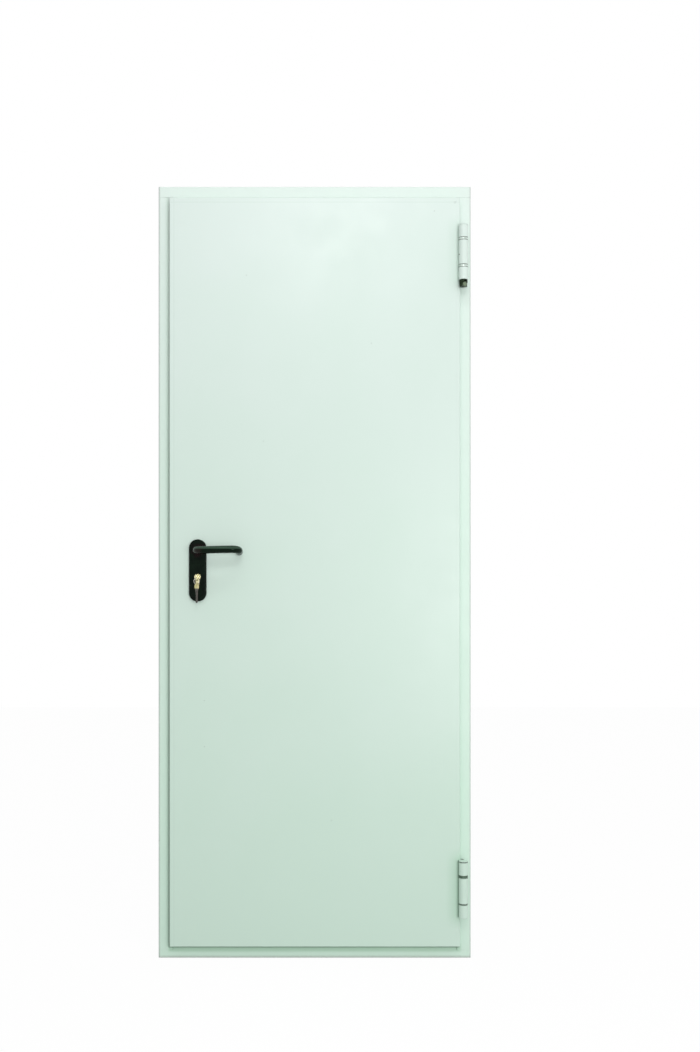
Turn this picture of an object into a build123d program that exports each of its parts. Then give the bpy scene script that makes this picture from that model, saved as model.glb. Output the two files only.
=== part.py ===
from build123d import *
import os

os.makedirs("parts", exist_ok=True)

# X runs to the right as seen from the pull side, Y into the wall, Z up.
# The origin is at mid width on the underside of the threshold, in the plane of the wall's face.

# Frame sheet and overall size
FRAME_WIDTH = 850.0
FRAME_HEIGHT = 2100.0
FRAME_SHEET = 2.0
FRAME_BEND = 2.0
FRAME_PROUD = 10.0
OUTER_RETURN = 18.0
JAMB_FACE = 40.0
HEAD_FACE = 44.0
THRESHOLD_FACE = 44.0
REBATE_DEPTH = 54.0
JAMB_STOP = 26.0
THRESHOLD_STOP = 12.0
STOP_DEPTH = 30.0
BACK_FLANGE = 33.0
THRESHOLD_BACK_FLANGE = 30.0
EDGE_STRIP = 12.0
HEAD_JOINT_DROP = 30.0
THRESHOLD_JOINT_RISE = 22.0
JOINT_GAP = 0.2

# Anchor holes in the jambs
ANCHOR_RADIUS = 5.25
ANCHOR_BEHIND_FACE = 38.0
ANCHOR_HEIGHTS = (250.0, 780.0, 1320.0, 1850.0)

# Leaf
LEAF_SHEET = 1.2
LEAF_BEND = 3.0
SIDE_REVEAL = 31.0
HEAD_REVEAL = 35.0
THRESHOLD_REVEAL = 35.0
LIP_THICKNESS = 13.0
LIP_GAP = 5.0
LIP_RETURN = 18.0
SEAM_FLANGE = 15.0
BODY_DEPTH = 50.0

# Seals and heat-swelling strips
SEAL_THICKNESS = 4.0
SEAL_WIDTH = 14.0
SEAL_INSET = 4.0
THRESHOLD_SEAL_FOOT = 2.0
THRESHOLD_SEAL_HEIGHT = 8.0
STRIP_THICKNESS = 1.8
STRIP_WIDTH = 20.0
STRIP_END_GAP = 20.0

# Hinges
HINGE_AXIS_OUT = 30.0
HINGE_AXIS_PAST_LEAF = 7.0
KNUCKLE_RADIUS = 12.5
KNUCKLE_EDGE = 1.2
OUTER_KNUCKLE = 36.0
MIDDLE_KNUCKLE = 71.0
WING_THICKNESS = 4.0
HINGE_PIN_RADIUS = 6.5
RUNNING_GAP = 0.05
WASHER_HEIGHT = 2.0
WASHER_RADIUS = 11.0
BEARING_HEIGHT = 6.5
BEARING_RADIUS = 12.0
HINGE_CAP_HEIGHT = 2.5
HINGE_CAP_EDGE = 0.8
TOP_HINGE_BELOW_HEAD = 261.5
BOTTOM_HINGE_FOOT = 118.0
ADJUSTER_COLLAR = 8.0
ADJUSTER_LENGTH = 18.5
ADJUSTER_RADIUS = 11.5
ADJUSTER_HEX_RADIUS = 11.5
ADJUSTER_TURN = 20.0
ADJUSTER_BAR_RADIUS = 2.5
ADJUSTER_SOCKET_RADIUS = 4.5
ADJUSTER_SOCKET_DEPTH = 5.0

# Lock and lever furniture
HANDLE_FROM_BODY_EDGE = 60.0
LEVER_HEIGHT = 1109.0
CYLINDER_DROP = 72.0
PLATE_WIDTH = 47.0
PLATE_HEIGHT = 168.0
PLATE_THICKNESS = 9.0
PLATE_EDGE = 4.0
PLATE_ABOVE_LEVER = 30.0
COLLAR_RADIUS = 14.0
COLLAR_HEIGHT = 3.0
COLLAR_EDGE = 1.5
LEVER_RADIUS = 10.0
LEVER_LENGTH = 123.0
LEVER_REACH = 48.0
LEVER_RISE = 2.5
LEVER_BEND = 22.0
LEVER_TIP_GAP = 12.0
LEVER_TIP_DROP = 7.0
LEVER_TIP_EDGE = 3.0
LEVER_SEAT = 4.0
SPINDLE_SIZE = 8.0
SPINDLE_HOLE_RADIUS = 9.0
FACEPLATE_WIDTH = 24.0
FACEPLATE_HEIGHT = 235.0
FACEPLATE_THICKNESS = 3.0
FACEPLATE_BELOW_LEVER = 155.0
CASE_DEPTH = 90.0
CASE_HEIGHT = 165.0
CASE_THICKNESS = 15.0
CASE_BELOW_LEVER = 122.0
FITTING_GAP = 0.3
BOLT_PROUD = 2.0
BOLT_EDGE = 0.6
LATCH_HEIGHT = 28.0
LATCH_THICKNESS = 13.0
LATCH_BEVEL = 7.0
DEAD_BOLT_DROP = 58.0
DEAD_BOLT_HEIGHT = 34.0
SCREW_END_GAP = 10.0
SCREW_HOLE_RADIUS = 2.25
SCREW_HEAD_RADIUS = 4.25
SCREW_SINK = 1.6
STRIKE_HOLE_GAP = 1.5
STRIKE_BOX_SHEET = 1.2
STRIKE_BOX_RIM = 3.0
STRIKE_BOX_DEPTH = 16.0
STRIKE_BOX_ROOM = 3.0

# Lock cylinder and keys
CYLINDER_RADIUS = 8.5
CYLINDER_FOOT_RADIUS = 5.0
CYLINDER_TALL = 33.0
CYLINDER_PROUD = 3.0
PLUG_RADIUS = 6.5
PLUG_LENGTH = 30.0
KEYWAY_LENGTH = 28.0
KEY_THICKNESS = 2.4
KEY_BLADE_HEIGHT = 8.0
KEY_BLADE_LENGTH = 33.0
KEY_TIP = 3.0
KEY_GROOVE_HEIGHT = 1.8
KEY_GROOVE_DEPTH = 0.5
KEY_CUT_START = 9.0
KEY_CUT_STEP = 4.4
KEY_CUT_DEPTHS = (1.4, 2.4, 0.9, 2.0, 1.2)
KEY_BOW_RADIUS = 10.0
KEY_PANEL_RADIUS = 7.6
KEY_PANEL_DEPTH = 0.3
KEY_SHOULDER_HEIGHT = 11.0
KEY_SHOULDER_LENGTH = 2.5
KEY_HOLE_RADIUS = 3.5
KEY_HOLE_OFFSET = 5.0
KEY_NECK = 6.0
RING_RADIUS = 8.5
RING_WIRE = 0.8
RING_PLAY = 0.5
RING_TURN = 35.0

# Places worked out from the sizes above
HALF_FRAME = FRAME_WIDTH / 2
FACE_Y = -FRAME_PROUD
REBATE_X = HALF_FRAME - JAMB_FACE
STOP_Y = FACE_Y + REBATE_DEPTH
LIP_HALF = HALF_FRAME - SIDE_REVEAL
LIP_TOP = FRAME_HEIGHT - HEAD_REVEAL
LIP_FOOT = THRESHOLD_REVEAL
LIP_BACK_Y = FACE_Y - LIP_GAP
LEAF_FRONT_Y = LIP_BACK_Y - LIP_THICKNESS
LEAF_BACK_Y = LIP_BACK_Y + BODY_DEPTH
BODY_HALF = LIP_HALF - LIP_RETURN
BODY_TOP = LIP_TOP - LIP_RETURN
BODY_FOOT = LIP_FOOT + LIP_RETURN
BODY_MID_Y = (LIP_BACK_Y + LEAF_BACK_Y) / 2
HINGE_X = LIP_HALF + HINGE_AXIS_PAST_LEAF
HINGE_Y = FACE_Y - HINGE_AXIS_OUT
HANDLE_X = HANDLE_FROM_BODY_EDGE - BODY_HALF
CYLINDER_Z = LEVER_HEIGHT - CYLINDER_DROP
CYLINDER_FRONT_Y = LEAF_FRONT_Y - PLATE_THICKNESS - CYLINDER_PROUD
CYLINDER_BACK_Y = LEAF_BACK_Y + PLATE_THICKNESS + CYLINDER_PROUD
CYLINDER_FOOT_DROP = CYLINDER_TALL - CYLINDER_RADIUS - CYLINDER_FOOT_RADIUS
DEAD_BOLT_Z = LEVER_HEIGHT - DEAD_BOLT_DROP
FACEPLATE_FOOT = LEVER_HEIGHT - FACEPLATE_BELOW_LEVER
FACEPLATE_TOP = FACEPLATE_FOOT + FACEPLATE_HEIGHT
HEAD_JOINT_Z = FRAME_HEIGHT - HEAD_JOINT_DROP
TOP_HINGE_FOOT = FRAME_HEIGHT - TOP_HINGE_BELOW_HEAD
SEAL_HALF = REBATE_X - SEAL_INSET
SEAL_TOP = FRAME_HEIGHT - HEAD_FACE - SEAL_INSET
SEAL_FOOT = THRESHOLD_FACE + THRESHOLD_SEAL_FOOT
BOW_Y = CYLINDER_FRONT_Y - KEY_NECK - KEY_BOW_RADIUS
RING_Y = BOW_Y - KEY_HOLE_OFFSET
RING_TOP_Z = CYLINDER_Z - KEY_HOLE_RADIUS + RING_WIRE + RING_PLAY
RING_FOOT_Z = RING_TOP_Z - 2 * RING_RADIUS


def block(x_low, x_high, y_low, y_high, z_low, z_high):
    """A box between six planes."""
    middle = ((x_low + x_high) / 2, (y_low + y_high) / 2, (z_low + z_high) / 2)
    return Pos(*middle) * Box(x_high - x_low, y_high - y_low, z_high - z_low)


def upright(radius, z_low, z_high, x=HINGE_X, y=HINGE_Y):
    """A cylinder that stands along Z."""
    return Pos(x, y, (z_low + z_high) / 2) * Cylinder(radius, z_high - z_low)


def along_y(face, y_low, y_high):
    """A face drawn in X and Z, carried from one depth to another."""
    front = Plane((0, y_low, 0), x_dir=(1, 0, 0), z_dir=(0, -1, 0))
    return extrude(front * face, -(y_high - y_low))


def folded_outline(path, sheet, inside_bend):
    """The section of a bent sheet whose outer side follows a path; the sheet lies to its left."""
    points = [Vector(*point) for point in path]
    steps = [(b - a).normalized() for a, b in zip(points, points[1:])]
    sides = [Vector(-step.Y, step.X) for step in steps]
    shifted = [points[0] + sides[0] * sheet]
    near, far = [0.0], [0.0]
    for point, before, after in zip(points[1:-1], sides, sides[1:]):
        shifted.append(point + (before + after) * (sheet / (1 + before.dot(after))))
        turns_left = before.cross(after).Z > 0
        near.append(inside_bend + sheet if turns_left else inside_bend)
        far.append(inside_bend if turns_left else inside_bend + sheet)
    shifted.append(points[-1] + sides[-1] * sheet)
    near.append(0.0)
    far.append(0.0)
    outline = points + shifted[::-1]
    return make_face(FilletPolyline(*outline, radius=near + far[::-1], close=True))


def frame_section(face_width, stop, back_flange, start=0.0):
    """Section of a frame member: across from its outer edge, and back from the wall's face."""
    return folded_outline(
        [
            (start, FACE_Y),
            (face_width, FACE_Y),
            (face_width, STOP_Y),
            (face_width + stop, STOP_Y),
            (face_width + stop, STOP_Y + STOP_DEPTH),
            (face_width + stop - back_flange, STOP_Y + STOP_DEPTH),
        ],
        FRAME_SHEET,
        FRAME_BEND,
    )


def edge_section():
    """The outer edge of a frame member: the return to the wall and a strip of the face."""
    return folded_outline(
        [(0.0, FACE_Y + OUTER_RETURN), (0.0, FACE_Y), (EDGE_STRIP, FACE_Y)],
        FRAME_SHEET,
        FRAME_BEND,
    )


def faceplate_span(x_low, x_high, gap=0.0):
    """A block with the outline of the lock's edge plate between two planes."""
    return block(
        x_low,
        x_high,
        BODY_MID_Y - FACEPLATE_WIDTH / 2 - gap,
        BODY_MID_Y + FACEPLATE_WIDTH / 2 + gap,
        FACEPLATE_FOOT - gap,
        FACEPLATE_TOP + gap,
    )


def screw_holes(x_face, direction):
    """The two countersunk holes of a plate whose face looks along X."""
    bore = Cylinder(SCREW_HOLE_RADIUS, 2 * FACEPLATE_THICKNESS, rotation=(0, 90, 0))
    sink = Cone(
        SCREW_HOLE_RADIUS, SCREW_HEAD_RADIUS, SCREW_SINK, rotation=(0, 90 * direction, 0)
    )
    hole = Pos(-direction * FACEPLATE_THICKNESS, 0, 0) * bore
    hole += Pos(-direction * SCREW_SINK / 2, 0, 0) * sink
    low = Pos(x_face, BODY_MID_Y, FACEPLATE_FOOT + SCREW_END_GAP) * hole
    return low + Pos(x_face, BODY_MID_Y, FACEPLATE_TOP - SCREW_END_GAP) * hole


def jamb(side):
    """One upright of the frame; the lock side has a window for the strike plate."""
    edge = extrude(edge_section(), HEAD_JOINT_Z - THRESHOLD_JOINT_RISE)
    rest = extrude(
        frame_section(JAMB_FACE, JAMB_STOP, BACK_FLANGE, EDGE_STRIP),
        HEAD_JOINT_Z - THRESHOLD_JOINT_RISE,
    )
    post = Pos(-HALF_FRAME, 0, THRESHOLD_JOINT_RISE) * (edge + rest)
    for height in ANCHOR_HEIGHTS:
        drill = Cylinder(ANCHOR_RADIUS, FRAME_SHEET * 2, rotation=(0, 90, 0))
        post -= Pos(-REBATE_X, FACE_Y + ANCHOR_BEHIND_FACE, height) * drill
    if side > 0:
        return mirror(post, about=Plane.YZ)
    return post - faceplate_span(-REBATE_X - 2 * FRAME_SHEET, -REBATE_X, FITTING_GAP)


def cross_member(face_width, stop, back_flange, outer_z, joint_z):
    """The head or the threshold, with its corners returned and cut round the jambs."""
    down = joint_z < outer_z
    joint_z += JOINT_GAP if down else -JOINT_GAP
    length = FRAME_WIDTH - 2 * EDGE_STRIP
    if down:
        start = Plane((-length / 2, 0, outer_z), x_dir=(0, 0, -1), z_dir=(1, 0, 0))
    else:
        start = Plane((length / 2, 0, outer_z), x_dir=(0, 0, 1), z_dir=(-1, 0, 0))
    member = extrude(start * frame_section(face_width, stop, back_flange, EDGE_STRIP), length)
    reach = face_width + stop
    inner_z = outer_z - reach if down else outer_z + reach
    z_low, z_high = sorted((joint_z, inner_z))
    deep = STOP_Y + STOP_DEPTH
    for side in (-1, 1):
        inner_x = REBATE_X - JOINT_GAP
        at_jamb = sorted((side * inner_x, side * HALF_FRAME))
        at_stop = sorted((side * (inner_x - JAMB_STOP), side * HALF_FRAME))
        at_bend = sorted((side * (inner_x - FRAME_BEND), side * HALF_FRAME))
        member -= block(*at_jamb, FACE_Y, deep, z_low, z_high)
        member -= block(*at_stop, STOP_Y - JOINT_GAP, deep, z_low, z_high)
        member -= block(*at_bend, STOP_Y - FRAME_BEND - JOINT_GAP, deep, z_low, z_high)
    path = Polyline(
        (-HALF_FRAME, 0, joint_z),
        (-HALF_FRAME, 0, outer_z),
        (HALF_FRAME, 0, outer_z),
        (HALF_FRAME, 0, joint_z),
    )
    section = Pos(-HALF_FRAME, 0, joint_z) * edge_section()
    return member + sweep(section, path, transition=Transition.RIGHT)


def rounded_block(half_width, foot, top, y_front, y_back, bend, round_front):
    """A block with its front or its back edges bent round, and its corners with them."""
    solid = block(-half_width, half_width, y_front, y_back, foot, top)
    face = solid.faces().sort_by(Axis.Y)[0 if round_front else -1]
    return fillet(face.edges(), bend)


def profile_face(clearance=0.0):
    """The euro profile of the lock cylinder: a round head over a narrow foot."""
    head = Pos(HANDLE_X, CYLINDER_Z) * Circle(CYLINDER_RADIUS + clearance)
    foot_z = CYLINDER_Z - CYLINDER_FOOT_DROP
    foot = Pos(HANDLE_X, foot_z) * Circle(CYLINDER_FOOT_RADIUS + clearance)
    web = Pos(HANDLE_X, (CYLINDER_Z + foot_z) / 2) * Rectangle(
        2 * (CYLINDER_FOOT_RADIUS + clearance), CYLINDER_FOOT_DROP
    )
    return head + web + foot


def furniture_holes(spindle_radius, clearance):
    """What is cut through the leaf for the spindle and the cylinder."""
    spindle = Pos(HANDLE_X, LEVER_HEIGHT) * Circle(spindle_radius)
    deep = PLATE_THICKNESS + CYLINDER_PROUD
    low, high = LEAF_FRONT_Y - deep, LEAF_BACK_Y + deep
    return along_y(spindle, low, high) + along_y(profile_face(clearance), low, high)


def leaf_front_skin():
    """The front sheet, folded back and in again all round to make the lip."""
    outer = rounded_block(LIP_HALF, LIP_FOOT, LIP_TOP, LEAF_FRONT_Y, LIP_BACK_Y, LEAF_BEND, True)
    inner = rounded_block(
        LIP_HALF - LEAF_SHEET,
        LIP_FOOT + LEAF_SHEET,
        LIP_TOP - LEAF_SHEET,
        LEAF_FRONT_Y + LEAF_SHEET,
        LIP_BACK_Y - LEAF_SHEET,
        LEAF_BEND - LEAF_SHEET,
        True,
    )
    window = block(
        SEAM_FLANGE - BODY_HALF,
        BODY_HALF - SEAM_FLANGE,
        BODY_MID_Y - BODY_DEPTH,
        LIP_BACK_Y,
        BODY_FOOT + SEAM_FLANGE,
        BODY_TOP - SEAM_FLANGE,
    )
    window &= block(
        -BODY_HALF, BODY_HALF, LIP_BACK_Y - LEAF_SHEET, LIP_BACK_Y, BODY_FOOT, BODY_TOP
    )
    return outer - inner - window - furniture_holes(SPINDLE_HOLE_RADIUS, FITTING_GAP)


def case_block(gap=0.0):
    """The mortise lock's case behind its edge plate."""
    foot = LEVER_HEIGHT - CASE_BELOW_LEVER
    front = FACEPLATE_THICKNESS - BODY_HALF
    return block(
        front,
        front + CASE_DEPTH + gap,
        BODY_MID_Y - CASE_THICKNESS / 2 - gap,
        BODY_MID_Y + CASE_THICKNESS / 2 + gap,
        foot - gap,
        foot + CASE_HEIGHT + gap,
    )


def leaf_back_tray():
    """The rear sheet: a shallow tray whose rim stands on the front skin's folded edge."""
    outer = rounded_block(
        BODY_HALF, BODY_FOOT, BODY_TOP, LIP_BACK_Y, LEAF_BACK_Y, LEAF_BEND, False
    )
    inner = rounded_block(
        BODY_HALF - LEAF_SHEET,
        BODY_FOOT + LEAF_SHEET,
        BODY_TOP - LEAF_SHEET,
        LIP_BACK_Y,
        LEAF_BACK_Y - LEAF_SHEET,
        LEAF_BEND - LEAF_SHEET,
        False,
    )
    tray = outer - inner
    tray -= faceplate_span(-BODY_HALF, FACEPLATE_THICKNESS - BODY_HALF, FITTING_GAP)
    return tray - furniture_holes(SPINDLE_HOLE_RADIUS, FITTING_GAP)


def leaf_core():
    """The mineral wool slab between the two sheets."""
    half = BODY_HALF - SEAM_FLANGE
    slab = block(
        -half,
        half,
        LEAF_FRONT_Y + LEAF_SHEET,
        LEAF_BACK_Y - LEAF_SHEET,
        BODY_FOOT + SEAM_FLANGE,
        BODY_TOP - SEAM_FLANGE,
    )
    slab -= case_block(FITTING_GAP)
    return slab - furniture_holes(SPINDLE_HOLE_RADIUS, FITTING_GAP)


def edge_strips():
    """The heat-swelling strips on the leaf's edges, clear of the lock's plate."""
    y_low, y_high = BODY_MID_Y - STRIP_WIDTH / 2, BODY_MID_Y + STRIP_WIDTH / 2
    foot, top = BODY_FOOT + STRIP_END_GAP, BODY_TOP - STRIP_END_GAP
    below_lock, above_lock = FACEPLATE_FOOT - STRIP_END_GAP, FACEPLATE_TOP + STRIP_END_GAP
    outer = BODY_HALF + STRIP_THICKNESS
    return Compound(
        children=[
            block(BODY_HALF, outer, y_low, y_high, foot, top),
            block(-outer, -BODY_HALF, y_low, y_high, foot, below_lock),
            block(-outer, -BODY_HALF, y_low, y_high, above_lock, top),
            block(
                STRIP_END_GAP - BODY_HALF,
                BODY_HALF - STRIP_END_GAP,
                y_low,
                y_high,
                BODY_TOP,
                BODY_TOP + STRIP_THICKNESS,
            ),
        ]
    )


def bolt_block(centre_z, height, gap=0.0):
    """A lock bolt where it passes through the edge plate."""
    return block(
        -BODY_HALF - BOLT_PROUD,
        FACEPLATE_THICKNESS - BODY_HALF,
        BODY_MID_Y - LATCH_THICKNESS / 2 - gap,
        BODY_MID_Y + LATCH_THICKNESS / 2 + gap,
        centre_z - height / 2 - gap,
        centre_z + height / 2 + gap,
    )


def bolt(centre_z, height, bevel):
    """A drawn-in bolt; a latch is bevelled on the side that meets the frame first."""
    solid = bolt_block(centre_z, height)
    tip = solid.faces().sort_by(Axis.X)[0]
    far_edge = tip.edges().sort_by(Axis.Y)[-1]
    if bevel:
        return chamfer(far_edge, length=bevel, length2=BOLT_PROUD, reference=tip)
    return chamfer(tip.edges(), BOLT_EDGE)


def lock_faceplate():
    """The edge plate with its two bolt holes and two screw holes."""
    plate = faceplate_span(-BODY_HALF, FACEPLATE_THICKNESS - BODY_HALF)
    plate -= bolt_block(LEVER_HEIGHT, LATCH_HEIGHT, FITTING_GAP)
    plate -= bolt_block(DEAD_BOLT_Z, DEAD_BOLT_HEIGHT, FITTING_GAP)
    return plate - screw_holes(-BODY_HALF, -1)


def lock_case():
    """The mortise lock's case with its follower and cylinder holes."""
    return case_block() - furniture_holes(SPINDLE_HOLE_RADIUS, FITTING_GAP)


def seal_strip(x_low, x_high, z_low, z_high):
    """A foam seal that lies on the face of a stop."""
    return block(x_low, x_high, STOP_Y - SEAL_THICKNESS, STOP_Y, z_low, z_high)


def strike_room(x_low, x_high, foot, top, extra):
    """A block as thick as the bolts and some more, between two planes."""
    half = LATCH_THICKNESS / 2 + extra
    return block(
        x_low, x_high, BODY_MID_Y - half, BODY_MID_Y + half, foot - extra, top + extra
    )


def strike_plate():
    """The keep in the lock jamb's web, flush with it, with a hole for each bolt."""
    back = -REBATE_X - FRAME_SHEET
    plate = faceplate_span(back, -REBATE_X)
    for centre, height in ((LEVER_HEIGHT, LATCH_HEIGHT), (DEAD_BOLT_Z, DEAD_BOLT_HEIGHT)):
        foot, top = centre - height / 2, centre + height / 2
        plate -= strike_room(back, -REBATE_X, foot, top, STRIKE_HOLE_GAP)
    return plate - screw_holes(-REBATE_X, 1)


def strike_box():
    """The pressed box behind the strike plate, welded to the back of the web by its rim."""
    front = -REBATE_X - FRAME_SHEET
    foot, top = DEAD_BOLT_Z - DEAD_BOLT_HEIGHT / 2, LEVER_HEIGHT + LATCH_HEIGHT / 2
    box = faceplate_span(front - STRIKE_BOX_SHEET, front, STRIKE_BOX_RIM)
    outside = STRIKE_BOX_ROOM + STRIKE_BOX_SHEET
    box += strike_room(front - STRIKE_BOX_DEPTH, front, foot, top, outside)
    bottom = front - STRIKE_BOX_DEPTH + STRIKE_BOX_SHEET
    return box - strike_room(bottom, front, foot, top, STRIKE_BOX_ROOM)


def hinge_knuckle(z_low, length):
    """One round knuckle with broken end edges, not yet bored."""
    barrel = upright(KNUCKLE_RADIUS, z_low, z_low + length)
    return chamfer(barrel.edges().filter_by(GeomType.CIRCLE), KNUCKLE_EDGE)


def pin_bore(z_low, length):
    """The running bore of a knuckle."""
    return upright(HINGE_PIN_RADIUS + RUNNING_GAP, z_low, z_low + length)


def frame_knuckle(z_low):
    """An outer knuckle on its wing, which is welded to the jamb's face."""
    wing = block(
        HINGE_X, HINGE_X + WING_THICKNESS, HINGE_Y, FACE_Y, z_low, z_low + OUTER_KNUCKLE
    )
    return hinge_knuckle(z_low, OUTER_KNUCKLE) + wing - pin_bore(z_low, OUTER_KNUCKLE)


def leaf_knuckle(z_low):
    """The middle knuckle on its wing, which is welded to the leaf's side."""
    wing = block(
        LIP_HALF,
        LIP_HALF + WING_THICKNESS,
        HINGE_Y,
        LIP_BACK_Y,
        z_low,
        z_low + MIDDLE_KNUCKLE,
    )
    return hinge_knuckle(z_low, MIDDLE_KNUCKLE) + wing - pin_bore(z_low, MIDDLE_KNUCKLE)


def hinge_cap(z_low):
    """The cap that closes the upper end of a hinge."""
    cap = upright(KNUCKLE_RADIUS, z_low, z_low + HINGE_CAP_HEIGHT)
    return chamfer(cap.edges().filter_by(GeomType.CIRCLE), HINGE_CAP_EDGE)


def ring_round_pin(radius, z_low, height):
    """A washer or bearing ring between two knuckles."""
    return upright(radius, z_low, z_low + height) - pin_bore(z_low, height)


def handle_plate(front):
    """The long rounded plate behind a lever, with its holes."""
    top = LEVER_HEIGHT + PLATE_ABOVE_LEVER
    outline = Pos(HANDLE_X, top - PLATE_HEIGHT / 2) * RectangleRounded(
        PLATE_WIDTH, PLATE_HEIGHT, PLATE_WIDTH / 2 - FITTING_GAP
    )
    collar_outline = Pos(HANDLE_X, LEVER_HEIGHT) * Circle(COLLAR_RADIUS)
    if front:
        face_y = LEAF_FRONT_Y - PLATE_THICKNESS
        plate = along_y(outline, face_y, LEAF_FRONT_Y)
        collar = along_y(collar_outline, face_y - COLLAR_HEIGHT, LEAF_FRONT_Y)
    else:
        face_y = LEAF_BACK_Y + PLATE_THICKNESS
        plate = along_y(outline, LEAF_BACK_Y, face_y)
        collar = along_y(collar_outline, LEAF_BACK_Y, face_y + COLLAR_HEIGHT)
    end = 0 if front else -1
    plate = fillet(plate.faces().sort_by(Axis.Y)[end].edges(), PLATE_EDGE)
    plate += fillet(collar.faces().sort_by(Axis.Y)[end].edges(), COLLAR_EDGE)
    return plate - furniture_holes(LEVER_RADIUS + RUNNING_GAP, FITTING_GAP)


def lever(front):
    """The round bar that leaves the plate, turns along the door and turns back to it."""
    sign = -1 if front else 1
    leaf_y = LEAF_FRONT_Y if front else LEAF_BACK_Y
    seat = leaf_y + sign * (PLATE_THICKNESS - LEVER_SEAT)
    out = leaf_y + sign * (PLATE_THICKNESS + LEVER_REACH)
    far = HANDLE_X + LEVER_LENGTH - LEVER_RADIUS
    path = FilletPolyline(
        (HANDLE_X, seat, LEVER_HEIGHT),
        (HANDLE_X, out, LEVER_HEIGHT),
        (far, out, LEVER_HEIGHT + LEVER_RISE),
        (far, leaf_y + sign * LEVER_TIP_GAP, LEVER_HEIGHT + LEVER_RISE - LEVER_TIP_DROP),
        radius=LEVER_BEND,
    )
    section = Plane((HANDLE_X, seat, LEVER_HEIGHT), z_dir=(0, sign, 0)) * Circle(LEVER_RADIUS)
    bar = sweep(section, path)
    tip = bar.faces().filter_by(GeomType.PLANE).sort_by(Axis.X)[-1]
    return fillet(tip.edges(), LEVER_TIP_EDGE)


def lever_spindle():
    """The square bar that joins the two levers through the lock."""
    inner = PLATE_THICKNESS - LEVER_SEAT
    return block(
        HANDLE_X - SPINDLE_SIZE / 2,
        HANDLE_X + SPINDLE_SIZE / 2,
        LEAF_FRONT_Y - inner,
        LEAF_BACK_Y + inner,
        LEVER_HEIGHT - SPINDLE_SIZE / 2,
        LEVER_HEIGHT + SPINDLE_SIZE / 2,
    )


def plug_face(clearance=0.0):
    """The round section of a cylinder's plug."""
    return Pos(HANDLE_X, CYLINDER_Z) * Circle(PLUG_RADIUS + clearance)


def lock_cylinder():
    """The double profile cylinder, bored for a plug at each end."""
    body = along_y(profile_face(), CYLINDER_FRONT_Y, CYLINDER_BACK_Y)
    bore = plug_face(RUNNING_GAP)
    body -= along_y(bore, CYLINDER_FRONT_Y, CYLINDER_FRONT_Y + PLUG_LENGTH)
    return body - along_y(bore, CYLINDER_BACK_Y - PLUG_LENGTH, CYLINDER_BACK_Y)


def keyway(y_front, y_back):
    """The slot for a key's blade."""
    outline = Pos(HANDLE_X, CYLINDER_Z) * Rectangle(
        KEY_THICKNESS + 2 * RUNNING_GAP, KEY_BLADE_HEIGHT + 2 * RUNNING_GAP
    )
    return along_y(outline, y_front, y_back)


def cylinder_plug():
    """The turning plug at the front with its keyway."""
    plug = along_y(plug_face(), CYLINDER_FRONT_Y, CYLINDER_FRONT_Y + PLUG_LENGTH)
    return plug - keyway(CYLINDER_FRONT_Y, CYLINDER_FRONT_Y + KEYWAY_LENGTH)


def back_plug():
    """The plug at the back, which stays still with its keyway empty."""
    plug = along_y(plug_face(), CYLINDER_BACK_Y - PLUG_LENGTH, CYLINDER_BACK_Y)
    return plug - keyway(CYLINDER_BACK_Y - KEYWAY_LENGTH, CYLINDER_BACK_Y)


def key_blade():
    """The grooved blade below a bow, with a pointed tip and its cuts on one edge."""
    half_thick, half_high = KEY_THICKNESS / 2, KEY_BLADE_HEIGHT / 2
    start = -KEY_BOW_RADIUS
    end = start - KEY_BLADE_LENGTH
    blade = block(-half_thick, half_thick, -half_high, half_high, end, 0)
    tip = blade.faces().sort_by(Axis.Z)[0].edges().filter_by(Axis.X)
    blade = chamfer(tip, KEY_TIP)
    for number, depth in enumerate(KEY_CUT_DEPTHS):
        notch = Rot(45, 0, 0) * Box(KEY_THICKNESS, KEY_CUT_STEP, KEY_CUT_STEP)
        height = start - KEY_CUT_START - number * KEY_CUT_STEP
        blade -= Pos(0, half_high + KEY_CUT_STEP / 2**0.5 - depth, height) * notch
    groove = Box(KEY_GROOVE_DEPTH, KEY_GROOVE_HEIGHT, KEY_BLADE_LENGTH)
    for side in (-1, 1):
        across = half_thick - KEY_GROOVE_DEPTH / 2
        place = Pos(side * across, -side * KEY_GROOVE_HEIGHT / 2, (start + end) / 2)
        blade -= place * groove
    return blade


def flat_key():
    """A key that stands in the plane X = 0 round its bow's centre, with its blade down."""
    disc = Cylinder(KEY_BOW_RADIUS, KEY_THICKNESS, rotation=(0, 90, 0))
    half_thick, half_high = KEY_THICKNESS / 2, KEY_SHOULDER_HEIGHT / 2
    end = -KEY_BOW_RADIUS - KEY_SHOULDER_LENGTH
    shoulder = block(-half_thick, half_thick, -half_high, half_high, end, 0)
    blank = disc + shoulder + key_blade()
    panel = Cylinder(KEY_PANEL_RADIUS, KEY_PANEL_DEPTH, rotation=(0, 90, 0))
    for side in (-1, 1):
        blank -= Pos(side * (half_thick - KEY_PANEL_DEPTH / 2), 0, 0) * panel
    hole = Cylinder(KEY_HOLE_RADIUS, KEY_THICKNESS, rotation=(0, 90, 0))
    return blank - Pos(0, 0, KEY_HOLE_OFFSET) * hole


def key():
    """The key in the lock, its blade in the plug."""
    return Pos(HANDLE_X, BOW_Y, CYLINDER_Z) * Rot(90, 0, 0) * flat_key()


def key_ring():
    """The wire ring that hangs in the key's bow, turned between the two keys."""
    ring = Torus(RING_RADIUS, RING_WIRE)
    place = Pos(HANDLE_X, RING_Y, RING_TOP_Z - RING_RADIUS) * Rot(0, 0, RING_TURN)
    return place * Rot(90, 0, 0) * ring


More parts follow.
